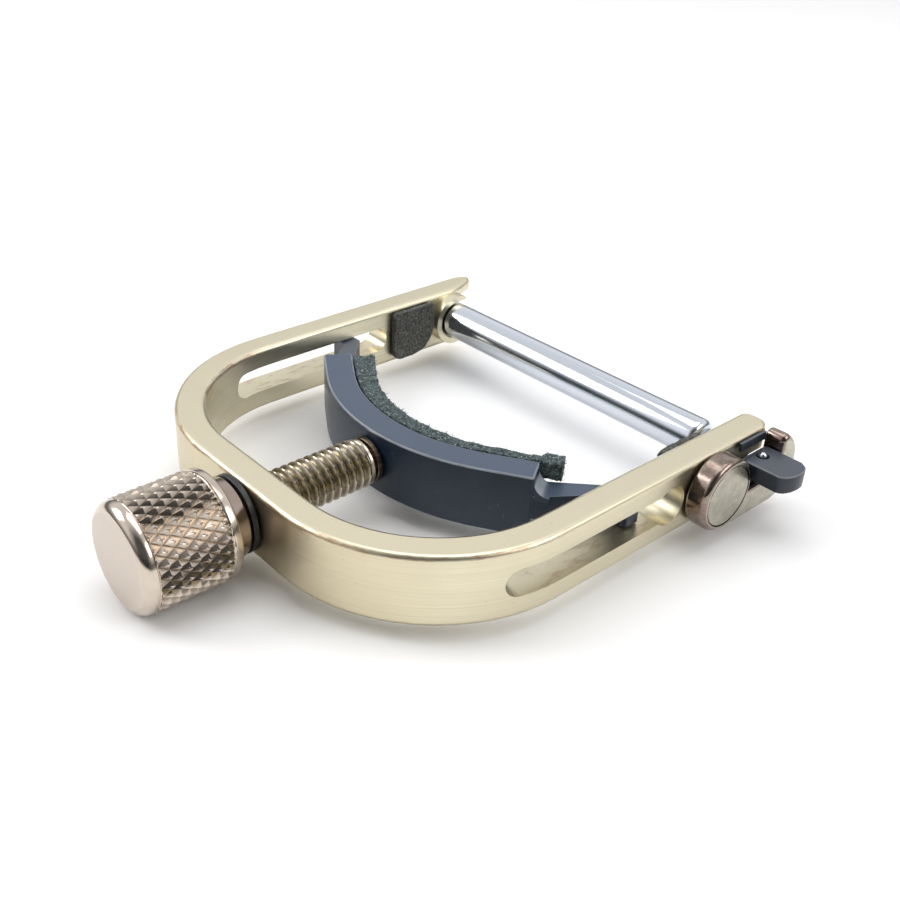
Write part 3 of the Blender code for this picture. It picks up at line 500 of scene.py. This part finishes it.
# ---- geometry trees ---------------------------------------------------------------------------
class Tree(NodeMaker):
    """A geometry node tree with named inputs, ending in Realize Instances and Set Material."""

    def __init__(self, name, inputs):
        self.group = bpy.data.node_groups.new(name, "GeometryNodeTree")
        super().__init__(self.group)
        face = self.group.interface
        face.new_socket("Geometry", in_out="INPUT", socket_type="NodeSocketGeometry")
        face.new_socket("Geometry", in_out="OUTPUT", socket_type="NodeSocketGeometry")
        for label, kind, default in inputs:
            face.new_socket(label, in_out="INPUT", socket_type=kind).default_value = default
        face.new_socket("Material", in_out="INPUT", socket_type="NodeSocketMaterial")
        self.start = self.put("NodeGroupInput").outputs
        self.end = self.put("NodeGroupOutput")

    def finish(self, geometry):
        real = self.put("GeometryNodeRealizeInstances", {0: geometry})
        done = self.put("GeometryNodeSetMaterial",
                        {"Geometry": real.outputs[0], "Material": self.start["Material"]})
        self.links.new(done.outputs[0], self.end.inputs[0])
        return self.group

    def polar(self):
        """Position of a point about the screw's axis: along, angle in turns, and the outward direction."""
        place = self.put("GeometryNodeInputPosition").outputs[0]
        spot = self.split(place)
        across = self.maths("SUBTRACT", spot[0], self.start["Centre X"])
        up = self.maths("SUBTRACT", spot[2], self.start["Centre Z"])
        angle = self.maths("DIVIDE", self.maths("ARCTAN2", across, up), 2 * math.pi)
        flat = self.put("ShaderNodeCombineXYZ", {0: across, 2: up}).outputs[0]
        out = self.put("ShaderNodeVectorMath", {0: flat}, operation="NORMALIZE").outputs[0]
        return spot[1], angle, out

    def wave(self, phase):
        """Triangle wave, 0 at whole numbers and 1 half way between them."""
        return self.times(self.maths("PINGPONG", phase, 0.5), 2.0)

    def carve(self, height, out):
        """Sink the points marked cut by Depth where height is 0, and note how deep they lie."""
        marked = self.put("GeometryNodeInputNamedAttribute", {"Name": "cut"}, data_type="FLOAT").outputs[0]
        low = self.times(self.maths("SUBTRACT", 1.0, height), marked)
        sink = self.times(low, self.start["Depth"], -1.0)
        offset = self.put("ShaderNodeVectorMath", {0: out, "Scale": sink}, operation="SCALE").outputs[0]
        noted = self.put("GeometryNodeStoreNamedAttribute",
                         {"Geometry": self.start["Geometry"], "Name": "groove", "Value": low},
                         data_type="FLOAT", domain="POINT")
        moved = self.put("GeometryNodeSetPosition", {"Geometry": noted.outputs[0], "Offset": offset})
        return self.finish(moved.outputs[0])


POLAR_INPUTS = [("Centre X", "NodeSocketFloat", AXIS_X), ("Centre Z", "NodeSocketFloat", AXIS_Z),
                ("Start", "NodeSocketFloat", 0.0), ("Depth", "NodeSocketFloat", 0.0004)]


def knurl_tree():
    """Two crossing families of helical V grooves that leave diamonds standing."""
    tree = Tree("Diamond knurl", POLAR_INPUTS + [("Starts", "NodeSocketFloat", 30.0),
                                                 ("Period", "NodeSocketFloat", 0.0023)])
    along, angle, out = tree.polar()
    rows = tree.maths("DIVIDE", tree.maths("SUBTRACT", along, tree.start["Start"]), tree.start["Period"])
    around = tree.times(angle, tree.start["Starts"])
    one = tree.wave(tree.maths("ADD", around, rows))
    two = tree.wave(tree.maths("SUBTRACT", around, rows))
    peak = tree.maths("MINIMUM", one, two)
    height = tree.maths("MINIMUM", tree.times(peak, 1.12), 1.0)
    return tree.carve(height, out)


def thread_tree():
    """A right-handed V thread with a narrow flat crest and a flat root."""
    tree = Tree("V thread", POLAR_INPUTS + [("Pitch", "NodeSocketFloat", 0.00112)])
    along, angle, out = tree.polar()
    turns = tree.maths("DIVIDE", tree.maths("SUBTRACT", along, tree.start["Start"]), tree.start["Pitch"])
    wave = tree.wave(tree.maths("SUBTRACT", turns, angle))
    slope = tree.maths("MULTIPLY_ADD", tree.maths("POWER", wave, 1.5), 1.08, 0.0)
    height = tree.maths("MAXIMUM", tree.maths("MINIMUM", slope, 1.0), 0.0)
    return tree.carve(height, out)


def nap_tree():
    """Loose bent fibres scattered over a soft piece."""
    inputs = [("Fibres per square metre", "NodeSocketFloat", 1e6), ("Length", "NodeSocketFloat", 0.0005),
              ("Thickness", "NodeSocketFloat", 0.00002), ("Lean", "NodeSocketFloat", 1.2),
              ("Seed", "NodeSocketInt", 3)]
    tree = Tree("Fibre nap", inputs)
    points = tree.put("GeometryNodeDistributePointsOnFaces",
                      {"Mesh": tree.start["Geometry"], "Density": tree.start["Fibres per square metre"],
                       "Seed": tree.start["Seed"]})
    half = tree.times(tree.start["Length"], 0.5)
    middle = tree.put("ShaderNodeCombineXYZ", {0: half, 2: half}).outputs[0]
    end = tree.put("ShaderNodeCombineXYZ", {0: half, 1: half, 2: tree.start["Length"]}).outputs[0]
    line = tree.put("GeometryNodeCurveQuadraticBezier",
                    {"Resolution": 3, "Start": (0, 0, -0.00005), "Middle": middle, "End": end})
    ring = tree.put("GeometryNodeCurvePrimitiveCircle", {"Resolution": 3, "Radius": tree.start["Thickness"]})
    hair = tree.put("GeometryNodeCurveToMesh",
                    {"Curve": line.outputs[0], "Profile Curve": ring.outputs[0], "Fill Caps": True})
    lean = tree.start["Lean"]
    low = tree.times(lean, -1.0)
    least = tree.put("ShaderNodeCombineXYZ", {0: low, 1: low, 2: -math.pi}).outputs[0]
    most = tree.put("ShaderNodeCombineXYZ", {0: lean, 1: lean, 2: math.pi}).outputs[0]
    spin = tree.put("FunctionNodeRandomValue", {0: least, 1: most, "Seed": tree.start["Seed"]},
                    data_type="FLOAT_VECTOR").outputs[0]
    turn = tree.put("FunctionNodeEulerToRotation", {0: spin}).outputs[0]
    rotation = tree.put("FunctionNodeRotateRotation", {0: points.outputs["Rotation"], 1: turn},
                        rotation_space="LOCAL").outputs[0]
    size = tree.put("FunctionNodeRandomValue", {2: 0.35, 3: 1.15, "Seed": 11}, data_type="FLOAT").outputs[1]
    fibres = tree.put("GeometryNodeInstanceOnPoints",
                      {"Points": points.outputs["Points"], "Instance": hair.outputs[0],
                       "Rotation": rotation, "Scale": size})
    both = tree.put("GeometryNodeJoinGeometry")
    tree.links.new(tree.start["Geometry"], both.inputs[0])
    tree.links.new(fibres.outputs[0], both.inputs[0])
    return tree.finish(both.outputs[0])


def coil_tree():
    """A round-wire spring standing along Z."""
    inputs = [("Turns", "NodeSocketFloat", 3.0), ("Radius", "NodeSocketFloat", 0.0004),
              ("Height", "NodeSocketFloat", 0.001), ("Wire", "NodeSocketFloat", 0.00009)]
    tree = Tree("Coil spring", inputs)
    helix = tree.put("GeometryNodeCurveSpiral",
                     {"Resolution": 32, "Rotations": tree.start["Turns"],
                      "Start Radius": tree.start["Radius"], "End Radius": tree.start["Radius"],
                      "Height": tree.start["Height"]})
    ring = tree.put("GeometryNodeCurvePrimitiveCircle", {"Resolution": 10, "Radius": tree.start["Wire"]})
    wire = tree.put("GeometryNodeCurveToMesh",
                    {"Curve": helix.outputs[0], "Profile Curve": ring.outputs[0], "Fill Caps": True})
    return tree.finish(wire.outputs[0])


# ---- places on the capo, measured from the middle of the yoke's base ---------------------------
def at(x, y, z):
    """Point in the frame from millimetres right of the screw, out from the base and up the strip."""
    return Vector((AXIS_X + x * MM, BASE_Y + y * MM, YOKE_LOW.z + z * MM))


MID_Z = 4.6                   # the strip's middle plane
SADDLE_R = 27.5               # radius of the saddle's back face
SADDLE_ROOT = 46.5            # centre of that radius, out from the base
SADDLE_BEND = math.radians(33)
SADDLE_ARC = SADDLE_R * SADDLE_BEND
SADDLE_END = 22.18            # length of the back face, from the middle to one end
SADDLE_T = 3.9
LEDGE_Z = 6.15                # top of the lug beyond the saddle's full height
BLOCK_R = 4.8
RIVET_Y = 47.4
EAR_Y = 57.0
FAR_WALL = 57.9              # notch wall of the far ear
NOTCH_FLOOR = 3.8


def saddle_spot(run, depth):
    """Plan point at a distance along the saddle's back face and a depth in from it."""
    side = -1 if run < 0 else 1
    run = abs(run)
    turn = min(run / SADDLE_R, SADDLE_BEND)
    x = (SADDLE_R - depth) * math.sin(turn)
    y = SADDLE_ROOT - (SADDLE_R - depth) * math.cos(turn)
    straight = max(0.0, run - SADDLE_ARC)
    return side * (x + straight * math.cos(SADDLE_BEND)), y + straight * math.sin(SADDLE_BEND)


def arc(y, z, radius, begin, end, count):
    """Points along an arc about a centre, between two directions in degrees."""
    turns = [math.radians(begin + (end - begin) * i / count) for i in range(count + 1)]
    return [(y + radius * math.cos(turn), z + radius * math.sin(turn)) for turn in turns]


def quarter(radius, count):
    """Steps of a quarter round, from the full outline to the end face: (short of the end, drawn in)."""
    turns = [math.radians(90 * i / count) for i in range(count + 1)]
    return [(radius * (1 - math.sin(turn)), radius * (1 - math.cos(turn))) for turn in turns]


def loft(bm, rings):
    """Close a solid over rings of as many points each, with a face on both ends."""
    bm.faces.new(rings[0])
    bm.faces.new(rings[-1])
    for a, b in zip(rings, rings[1:]):
        for i in range(len(a)):
            j = (i + 1) % len(a)
            bm.faces.new((a[i], a[j], b[j], b[i]))
    bmesh.ops.recalc_face_normals(bm, faces=bm.faces)


def prism(bm, outline, low, high):
    """Straight extrusion along X, in millimetres, of an outline in Y and Z."""
    loft(bm, [[bm.verts.new(at(x, y, z)) for y, z in outline] for x in (low, high)])


def cut(obj, bm):
    """Take a closed solid out of a piece, and leave nothing of the cutter behind."""
    tool = link_mesh("cutter", bm)
    mod = obj.modifiers.new("cut", "BOOLEAN")
    mod.operation = "DIFFERENCE"
    mod.solver = "EXACT"
    mod.object = tool
    settle(obj)
    mesh = tool.data
    bpy.data.objects.remove(tool)
    bpy.data.meshes.remove(mesh)


def felted(obj, voxel, swell, body, slot, node, density, length, seed):
    """Turn a plain closed block into a soft, uneven one with a nap of loose fibres."""
    material = obj.data.materials[0]
    mod = obj.modifiers.new("fine", "REMESH")
    mod.mode = "VOXEL"
    mod.voxel_size = voxel * MM
    settle(obj)
    mesh = obj.data
    normals = [vert.normal.copy() for vert in mesh.vertices]
    for vert, normal in zip(mesh.vertices, normals):
        spot = vert.co / MM
        coarse = noise.noise(spot * 0.75 + Vector((seed, 0, 0)))
        fine = noise.noise(spot * 2.6 + Vector((0, seed, 0)))
        vert.co += normal * (coarse * 0.55 + fine * 0.45 - 0.25) * swell * MM
    mesh.shade_smooth()
    bake(obj, nap_tree(), {"Fibres per square metre": density * 1e4, "Length": length,
                           "Thickness": 0.022 * MM, "Lean": 1.25, "Seed": seed, "Material": material})
    finished(obj, body, slot, node)


# ---- operators --------------------------------------------------------------------------------
class CAPO_OT_yoke(bpy.types.Operator):
    """Bent strip with its guide slots, in brushed champagne plating"""

    bl_idname = "capo.yoke"
    bl_label = "Yoke"

    def execute(self, context):
        dressed("yoke", "yoke_plated", plated_champagne(context.scene.capo_colours), "frame",
                "champagne_metal", context.scene.capo_sizes.edge_round, 60, 52)
        return {"FINISHED"}


class CAPO_OT_knob(bpy.types.Operator):
    """Turned thumb knob with a diamond knurl between plain rims"""

    bl_idname = "capo.knob"
    bl_label = "Thumb knob"

    def execute(self, context):
        sizes = context.scene.capo_sizes
        material = plated_knob(context.scene.capo_colours)
        full = KNOB_R / MM
        rim = full - 0.13        # the plain rims stand just inside the knurl's points
        start = -13.44           # the knurl's front end
        count = 30               # rows along the knurl, 8 to a diamond
        step = sizes.knurl_period / MM / 8
        tail = start + step * count
        ditch = [(0.28, rim), (0.22, rim - 0.14), (0.14, rim - 0.2), (0.06, rim - 0.14)]
        rows = [(-15.3, 5.35), (-15.27, 5.55), (-15.17, 5.8), (-14.98, 6.08), (-14.72, 6.33), (-14.45, 6.5),
                (-14.15, rim - 0.02), (-13.95, rim)]
        rows += [(start - gap, radius) for gap, radius in ditch]
        first = len(rows)
        rows += [(start + step * i, full, 1.0) for i in range(count + 1)]
        rows += [(tail + gap, radius) for gap, radius in reversed(ditch)]
        rows += [(-3.72, rim), (-3.52, rim - 0.07), (-3.41, rim - 0.22), (-3.4, rim - 0.4), (-3.4, 5.1),
                 (-3.36, 5.0), (-3.2, 4.95), (-1.55, 4.85), (-1.44, 4.8), (-1.4, 4.7)]
        knob = turned_on_screw("knurled_knob", rows, 8 * sizes.knurl_starts, material, 40,
                               (first, first + count))
        knurl_low, knurl_high = BASE_Y + (start - 0.01) * MM, BASE_Y + (tail + 0.01) * MM
        for face in knob.data.polygons:
            along = [knob.data.vertices[i].co.y for i in face.vertices]
            face.use_smooth = not (min(along) > knurl_low and max(along) < knurl_high)
        bake(knob, knurl_tree(), {"Start": BASE_Y + start * MM, "Depth": sizes.knurl_depth,
                                  "Starts": float(sizes.knurl_starts), "Period": sizes.knurl_period,
                                  "Material": material})
        finished(knob, "screw", "knob_metal", "thumb_knob")
        # A real black washer, whose near-black colour also stands in for painted shade in the gap between
        # knob and base.
        black = satin_black("washer_black_gap_shade", (0.008, 0.008, 0.009), (0.03, 0.03, 0.03))
        dressed("knob_washer", "knob_washer_black", black, "screw", "black_metal", 0.08 * MM)
        return {"FINISHED"}


class CAPO_OT_screw(bpy.types.Operator):
    """Screw with a V thread, its thrust washer and the clip that holds it in the saddle"""

    bl_idname = "capo.screw"
    bl_label = "Screw"

    def execute(self, context):
        sizes = context.scene.capo_sizes
        material = plated_screw(context.scene.capo_colours)
        start, stop = -0.9, 17.2        # the thread's ends
        crest = 3.172                   # radius over the thread's ridge
        step = sizes.thread_pitch / MM / 14        # rows along the thread, 14 to a turn
        count = int((stop - start) / step)
        rows = [(-12.2, 2.3), (-11.9, 2.6), (-1.6, 2.6), (-1.3, 3.1)]
        for i in range(count + 1):
            rows.append((start + step * i, crest, max(0.0, min(1.0, i / 10, 0.3 + (count - i) / 10))))
        rows += [(17.3, 3.0), (17.5, 3.02), (17.62, 2.98), (17.68, 2.85), (17.7, 1.9), (21.7, 1.9),
                 (21.95, 1.7), (22.0, 1.5)]
        screw = turned_on_screw("threaded_screw", rows, 72, material, 50)
        bake(screw, thread_tree(), {"Start": BASE_Y + start * MM, "Depth": sizes.thread_depth,
                                    "Pitch": sizes.thread_pitch, "Material": material})
        screw.data.set_sharp_from_angle(angle=math.radians(24))
        finished(screw, "screw", "screw_metal", "screw_shaft")
        dressed("thrust_washer", "thrust_washer_bronze", bronze_washer(), "saddle", "washer_bronze",
                0.08 * MM)
        dressed("swivel_clip", "swivel_clip_steel", bpy.data.materials["mirror_steel"], "screw",
                "polished_steel", 0.06 * MM)
        return {"FINISHED"}


class CAPO_OT_string_bar(bpy.types.Operator):
    """Polished bar with its tang and hinge pin"""

    bl_idname = "capo.string_bar"
    bl_label = "String bar"

    def execute(self, context):
        material = polished_steel(context.scene.capo_colours)
        radius = (BAR_HIGH.z - BAR_LOW.z) / 2
        low, high = BAR_LOW.x, BAR_HIGH.x
        rows = [(low + short, radius - drawn) for short, drawn in reversed(quarter(0.5 * MM, 6))]
        rows += [(low + (high - low) * i / 6, radius) for i in range(1, 6)]
        rows += [(high - short, radius - drawn) for short, drawn in quarter(1.1 * MM, 6)]
        bar = turned("polished_bar", rows, (BAR_LOW + BAR_HIGH) / 2, "X", 112, material)
        finished(bar, "bar", "polished_steel", "string_bar")
        dressed("bar_tang", "bar_tang_steel", material, "bar", "polished_steel", 0.12 * MM)
        dressed("bar_hinge_pin", "hinge_pin_steel", material, "frame", "polished_steel", 0)
        return {"FINISHED"}


class CAPO_OT_latch(bpy.types.Operator):
    """Latch block with its flush rivet, cam lever, trunnions, ball, spring and leaf"""

    bl_idname = "capo.latch"
    bl_label = "Latch"

    def execute(self, context):
        colours = context.scene.capo_colours
        nickel = plated_nickel(colours)
        steel = bpy.data.materials["mirror_steel"]
        low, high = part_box("latch_block")
        block = self.block(low.x, high.x, nickel)
        soften(block, context.scene.capo_sizes.edge_round, 60)
        finished(block, "frame", "antique_nickel", "latch_block")
        head = [(0.65, 2.0), (0.65, 3.95), (0.12, 3.97), (0.05, 3.93), (0.01, 3.85), (0, 3.7), (0, 2.0),
                (0, 0.5)]
        rows = [(low.x - 4.2 * MM, 2.0 * MM)] + [(high.x - sunk * MM, radius * MM) for sunk, radius in head]
        rivet = turned("flush_rivet", rows, at(0, RIVET_Y, MID_Z), "X", 72, nickel)
        finished(rivet, "frame", "antique_nickel", "block_rivet")
        black = satin_black("lever_black", colours.lever, (0.22, 0.23, 0.24))
        dressed("cam_lever", "cam_lever_black", black, "lever", "black_lever", 0.2 * MM)
        dressed("leaf_spring", "leaf_spring_black", black, "frame", "black_lever", 0.05 * MM)
        for node in ("near_trunnion", "far_trunnion"):
            dressed(node, node + "_steel", steel, "frame", "polished_steel", 0.06 * MM)
        dressed("detent_ball", "detent_ball_steel", steel, "ball", "polished_steel", 0, smooth_deg=80)
        spring = self.spring(steel)
        finished(spring, "lever", "polished_steel", "detent_spring")
        base = (SPRING_LOW + SPRING_HIGH) / 2
        base.z = SPRING_LOW.z
        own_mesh(spring)
        return {"FINISHED"}

    def block(self, inner, outer, material):
        """Stack of obround outlines whose insets round both faces' rims."""
        steps = [(inner + short * MM, inset) for short, inset in reversed(quarter(0.35, 6))]
        steps += [(outer - short * MM, inset) for short, inset in quarter(0.75, 10)]
        bm = bmesh.new()
        rings = []
        for x, inset in steps:
            spots = [at(0, y, z) for y, z in self.outline(inset)]
            rings.append([bm.verts.new((x, spot.y, spot.z)) for spot in spots])
        loft(bm, rings)
        block = link_mesh("latch_block_plated", bm, material, 40)
        far = (outer - AXIS_X) / MM
        recess = bmesh.new()
        prism(recess, arc(RIVET_Y, MID_Z, 4.08, 0, 355, 71), far - 0.7, far + 1)
        cut(block, recess)
        block.data.shade_smooth()
        block.data.set_sharp_from_angle(angle=math.radians(40))
        return block

    def outline(self, inset):
        """Round near ear, notch floor and round-topped far ear, drawn in from the full size by an inset."""
        floor = NOTCH_FLOOR - inset
        radius = BLOCK_R - inset
        arcs = ((RIVET_Y, MID_Z, radius, 270, math.degrees(math.asin((floor - MID_Z) / radius)), 60),
                (FAR_WALL + 1.0, MID_Z + 3.291, 1.0 - inset, 180, 60, 10),
                (EAR_Y, MID_Z, radius, 60, -90, 30))
        points = []
        for y, z, size, begin, end, count in arcs:
            if begin == 180:
                points.append((FAR_WALL + inset, floor))
            points += arc(y, z, size, begin, end, count)
        return points

    def spring(self, material):
        """Coil under the ball, grown from a mesh of one point."""
        bm = bmesh.new()
        bm.verts.new((0, 0, 0))
        spring = link_mesh("detent_spring_steel", bm, material)
        wire = 0.09 * MM
        radius = (SPRING_HIGH.x - SPRING_LOW.x) / 2 - wire
        bake(spring, coil_tree(), {"Turns": 3.0, "Radius": radius, "Wire": wire,
                                   "Height": SPRING_HIGH.z - SPRING_LOW.z - 2 * wire, "Material": material})
        middle = (SPRING_LOW + SPRING_HIGH) / 2
        spring.data.transform(Matrix.Translation((middle.x, middle.y, SPRING_LOW.z + wire)))
        return spring


class CAPO_OT_saddle(bpy.types.Operator):
    """Satin black saddle with the milled fillets at its ends"""

    bl_idname = "capo.saddle"
    bl_label = "Saddle"

    def execute(self, context):
        black = satin_black("saddle_black", context.scene.capo_colours.saddle, (0.30, 0.33, 0.37))
        dressed("saddle", "saddle_black_body", black, "saddle", "black_metal", 0.28 * MM, 55)
        for side, label in ((-1, "left"), (1, "right")):
            finished(self.fillet(side, label, black), "saddle", "black_metal")
        return {"FINISHED"}

    def fillet(self, side, label, material):
        """Quarter-round left by the milling cutter between the end wall and the lug's ledge."""
        radius = 1.9
        section = [(-0.3, LEDGE_Z - 0.6), (radius, LEDGE_Z - 0.6), (radius, LEDGE_Z + 0.01)]
        section += [(short, LEDGE_Z + drawn) for short, drawn in quarter(radius, 12)[1:-1]]
        section += [(0.0, LEDGE_Z + radius), (-0.3, LEDGE_Z + radius)]
        bm = bmesh.new()
        rings = []
        for depth in (0.25, SADDLE_T - 0.25):
            spots = [(*saddle_spot(SADDLE_END + out, depth), z) for out, z in section]
            rings.append([bm.verts.new(at(side * x, y, z)) for x, y, z in spots])
        loft(bm, rings)
        return link_mesh("saddle_fillet_" + label, bm, material, 30)


class CAPO_OT_felt(bpy.types.Operator):
    """Felt strip glued to the saddle, with a frayed end that laps over the ledge"""

    bl_idname = "capo.felt"
    bl_label = "Saddle felt"

    def execute(self, context):
        sizes = context.scene.capo_sizes
        material = fuzzy_cloth("felt_fibres", context.scene.capo_colours.felt, (0.42, 0.50, 0.48))
        near = SADDLE_T + 0.12
        low, high = MID_Z - 4.0, MID_Z + 4.15
        first, last = -21.6, SADDLE_END + 2.7
        count = 90
        bm = bmesh.new()
        rings = []
        for i in range(count + 1):
            run = first + (last - first) * i / count
            lapped = run > SADDLE_END - 0.15
            floor = LEDGE_Z + 0.25 if lapped else low
            far = near + (2.3 if lapped else 3.0 - 1.7 * i / count)
            corners = ((near, floor), (far, floor), (far, high), (near, high))
            spots = [at(*saddle_spot(run, depth), z) for depth, z in corners]
            rings.append([bm.verts.new(spot) for spot in spots])
        loft(bm, rings)
        felt = link_mesh("saddle_felt_strip", bm, material)
        felted(felt, 0.2, 0.3, "saddle", "felt_grey", "saddle_felt", sizes.fibre_density,
               sizes.fibre_length, 3)
        return {"FINISHED"}


class CAPO_OT_linings(bpy.types.Operator):
    """Round-cornered linings glued inside the two arms"""

    bl_idname = "capo.linings"
    bl_label = "Arm linings"

    def execute(self, context):
        sizes = context.scene.capo_sizes
        material = fuzzy_cloth("lining_fibres", context.scene.capo_colours.lining, (0.26, 0.26, 0.24))
        for side, node in ((-1, "left_arm_pad"), (1, "right_arm_pad")):
            low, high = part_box(node)
            outline = []
            corners = ((high.y, high.z, 0, 0.8), (low.y, high.z, 90, 0.8), (low.y, low.z, 180, 1.4),
                       (high.y, low.z, 270, 4.2))
            for y, z, begin, corner in corners:
                middle_y = (y - BASE_Y) / MM + (-corner if begin in (0, 270) else corner)
                middle_z = (z - YOKE_LOW.z) / MM + (-corner if begin in (0, 90) else corner)
                outline += arc(middle_y, middle_z, corner, begin, begin + 90, 10)
            bm = bmesh.new()
            prism(bm, outline, (low.x - AXIS_X) / MM, (high.x - AXIS_X) / MM)
            lining = link_mesh(node + "_cloth", bm, material)
            felted(lining, 0.16, 0.14, "frame", "pad_grey", node, sizes.fibre_density * 1.3,
                   sizes.fibre_length * 0.55, 5 + side)
        return {"FINISHED"}


class CAPO_OT_stage(bpy.types.Operator):
    """Pale floor, soft lights and the camera"""

    bl_idname = "capo.stage"
    bl_label = "Stage"

    def execute(self, context):
        self.floor()
        self.world(context.scene)
        self.light("key_box", (-0.42, -0.34, 0.40), 0.30, 0.30, 1.6)
        self.light("fill_box", (0.50, 0.25, 0.42), 0.40, 0.30, 1.2)
        self.light("top_box", (-0.05, 0.10, 0.65), 0.55, 0.40, 1.3)
        self.camera(context.scene)
        context.scene.view_settings.view_transform = "Standard"
        return {"FINISHED"}

    def floor(self):
        bm = bmesh.new()
        corners = [(-1.4, -1.4, 0), (1.4, -1.4, 0), (1.4, 1.4, 0), (-1.4, 1.4, 0)]
        bm.faces.new([bm.verts.new(corner) for corner in corners])
        link_mesh("studio_floor", bm, pale_paper())

    def world(self, scene):
        """Soft grey room, dark near the horizon and behind the camera, so the metals have edges."""
        world = bpy.data.worlds.new("soft_studio")
        world.use_nodes = True
        g = NodeMaker(world.node_tree)
        place = g.put("ShaderNodeTexCoord").outputs["Generated"]
        ramp = g.put("ShaderNodeValToRGB", {0: g.remap(g.split(place)[2], -0.2, 1.0)})
        stops = [(0.0, 0.85), (0.13, 0.5), (0.17, 0.14), (0.3, 0.22), (0.44, 0.85), (0.58, 1.05), (1, 0.78)]
        while len(ramp.color_ramp.elements) < len(stops):
            ramp.color_ramp.elements.new(0.5)
        for element, (position, grey) in zip(ramp.color_ramp.elements, stops):
            element.position = position
            element.color = (grey, grey, grey * 1.02, 1.0)
        toward = g.put("ShaderNodeVectorMath", {0: place, 1: (0.655, -0.571, 0.496)}, operation="DOT_PRODUCT")
        shadow = g.remap(toward.outputs["Value"], 0.62, 0.90, 1.0, 0.12)
        dimmed = g.put("ShaderNodeMix", {0: 1.0, 6: ramp.outputs[0], 7: shadow}, data_type="RGBA",
                       blend_type="MULTIPLY")
        g.links.new(dimmed.outputs[2], g.nodes["Background"].inputs[0])
        scene.world = world

    def light(self, name, place, width, height, power):
        data = bpy.data.lights.new(name, "AREA")
        data.shape = "RECTANGLE"
        data.size = width
        data.size_y = height
        data.energy = power
        lamp = bpy.data.objects.new(name, data)
        lamp.location = place
        lamp.rotation_euler = (Vector((0, 0, 0.006)) - Vector(place)).to_track_quat("-Z", "Y").to_euler()
        bpy.context.scene.collection.objects.link(lamp)

    def camera(self, scene):
        """Camera turned 49 degrees round the capo, 0.13 m from the yoke's base, looking down 30 degrees."""
        data = bpy.data.cameras.new("camera")
        data.sensor_width = 36
        data.lens = 43.10
        data.shift_x = 0.0434
        data.shift_y = -0.0304
        data.clip_start = 0.005
        data.clip_end = 10
        camera = bpy.data.objects.new("camera", data)
        camera.matrix_world = Matrix.Translation(at(89.296, -52.185, 75.016))
        for degrees, axis in ((48.925, "Z"), (90 - 29.727, "X"), (1.690, "Z")):
            camera.matrix_world @= Matrix.Rotation(math.radians(degrees), 4, axis)
        scene.collection.objects.link(camera)
        scene.camera = camera


OPERATORS = (CAPO_OT_yoke, CAPO_OT_string_bar, CAPO_OT_latch, CAPO_OT_knob, CAPO_OT_screw, CAPO_OT_saddle,
             CAPO_OT_felt, CAPO_OT_linings, CAPO_OT_stage)


class CAPO_PT_panel(bpy.types.Panel):
    """Sizes, colours and the operators in their order"""

    bl_idname = "CAPO_PT_panel"
    bl_label = "Screw Capo"
    bl_space_type = "VIEW_3D"
    bl_region_type = "UI"
    bl_category = "Capo"

    def draw(self, context):
        layout = self.layout
        for group in (context.scene.capo_sizes, context.scene.capo_colours):
            box = layout.box()
            for name in group.bl_rna.properties.keys():
                if name not in ("rna_type", "name"):
                    box.prop(group, name)
        for operator in OPERATORS:
            layout.operator(operator.bl_idname)


CLASSES = (CapoSizes, CapoColours, *OPERATORS, CAPO_PT_panel)


def register():
    for item in CLASSES:
        bpy.utils.register_class(item)
    bpy.types.Scene.capo_sizes = bpy.props.PointerProperty(type=CapoSizes)
    bpy.types.Scene.capo_colours = bpy.props.PointerProperty(type=CapoColours)


def unregister():
    del bpy.types.Scene.capo_colours
    del bpy.types.Scene.capo_sizes
    for item in reversed(CLASSES):
        bpy.utils.unregister_class(item)


def main():
    register()
    for operator in OPERATORS:
        getattr(bpy.ops.capo, operator.bl_idname.split(".")[1])()


if __name__ == "__main__":
    main()
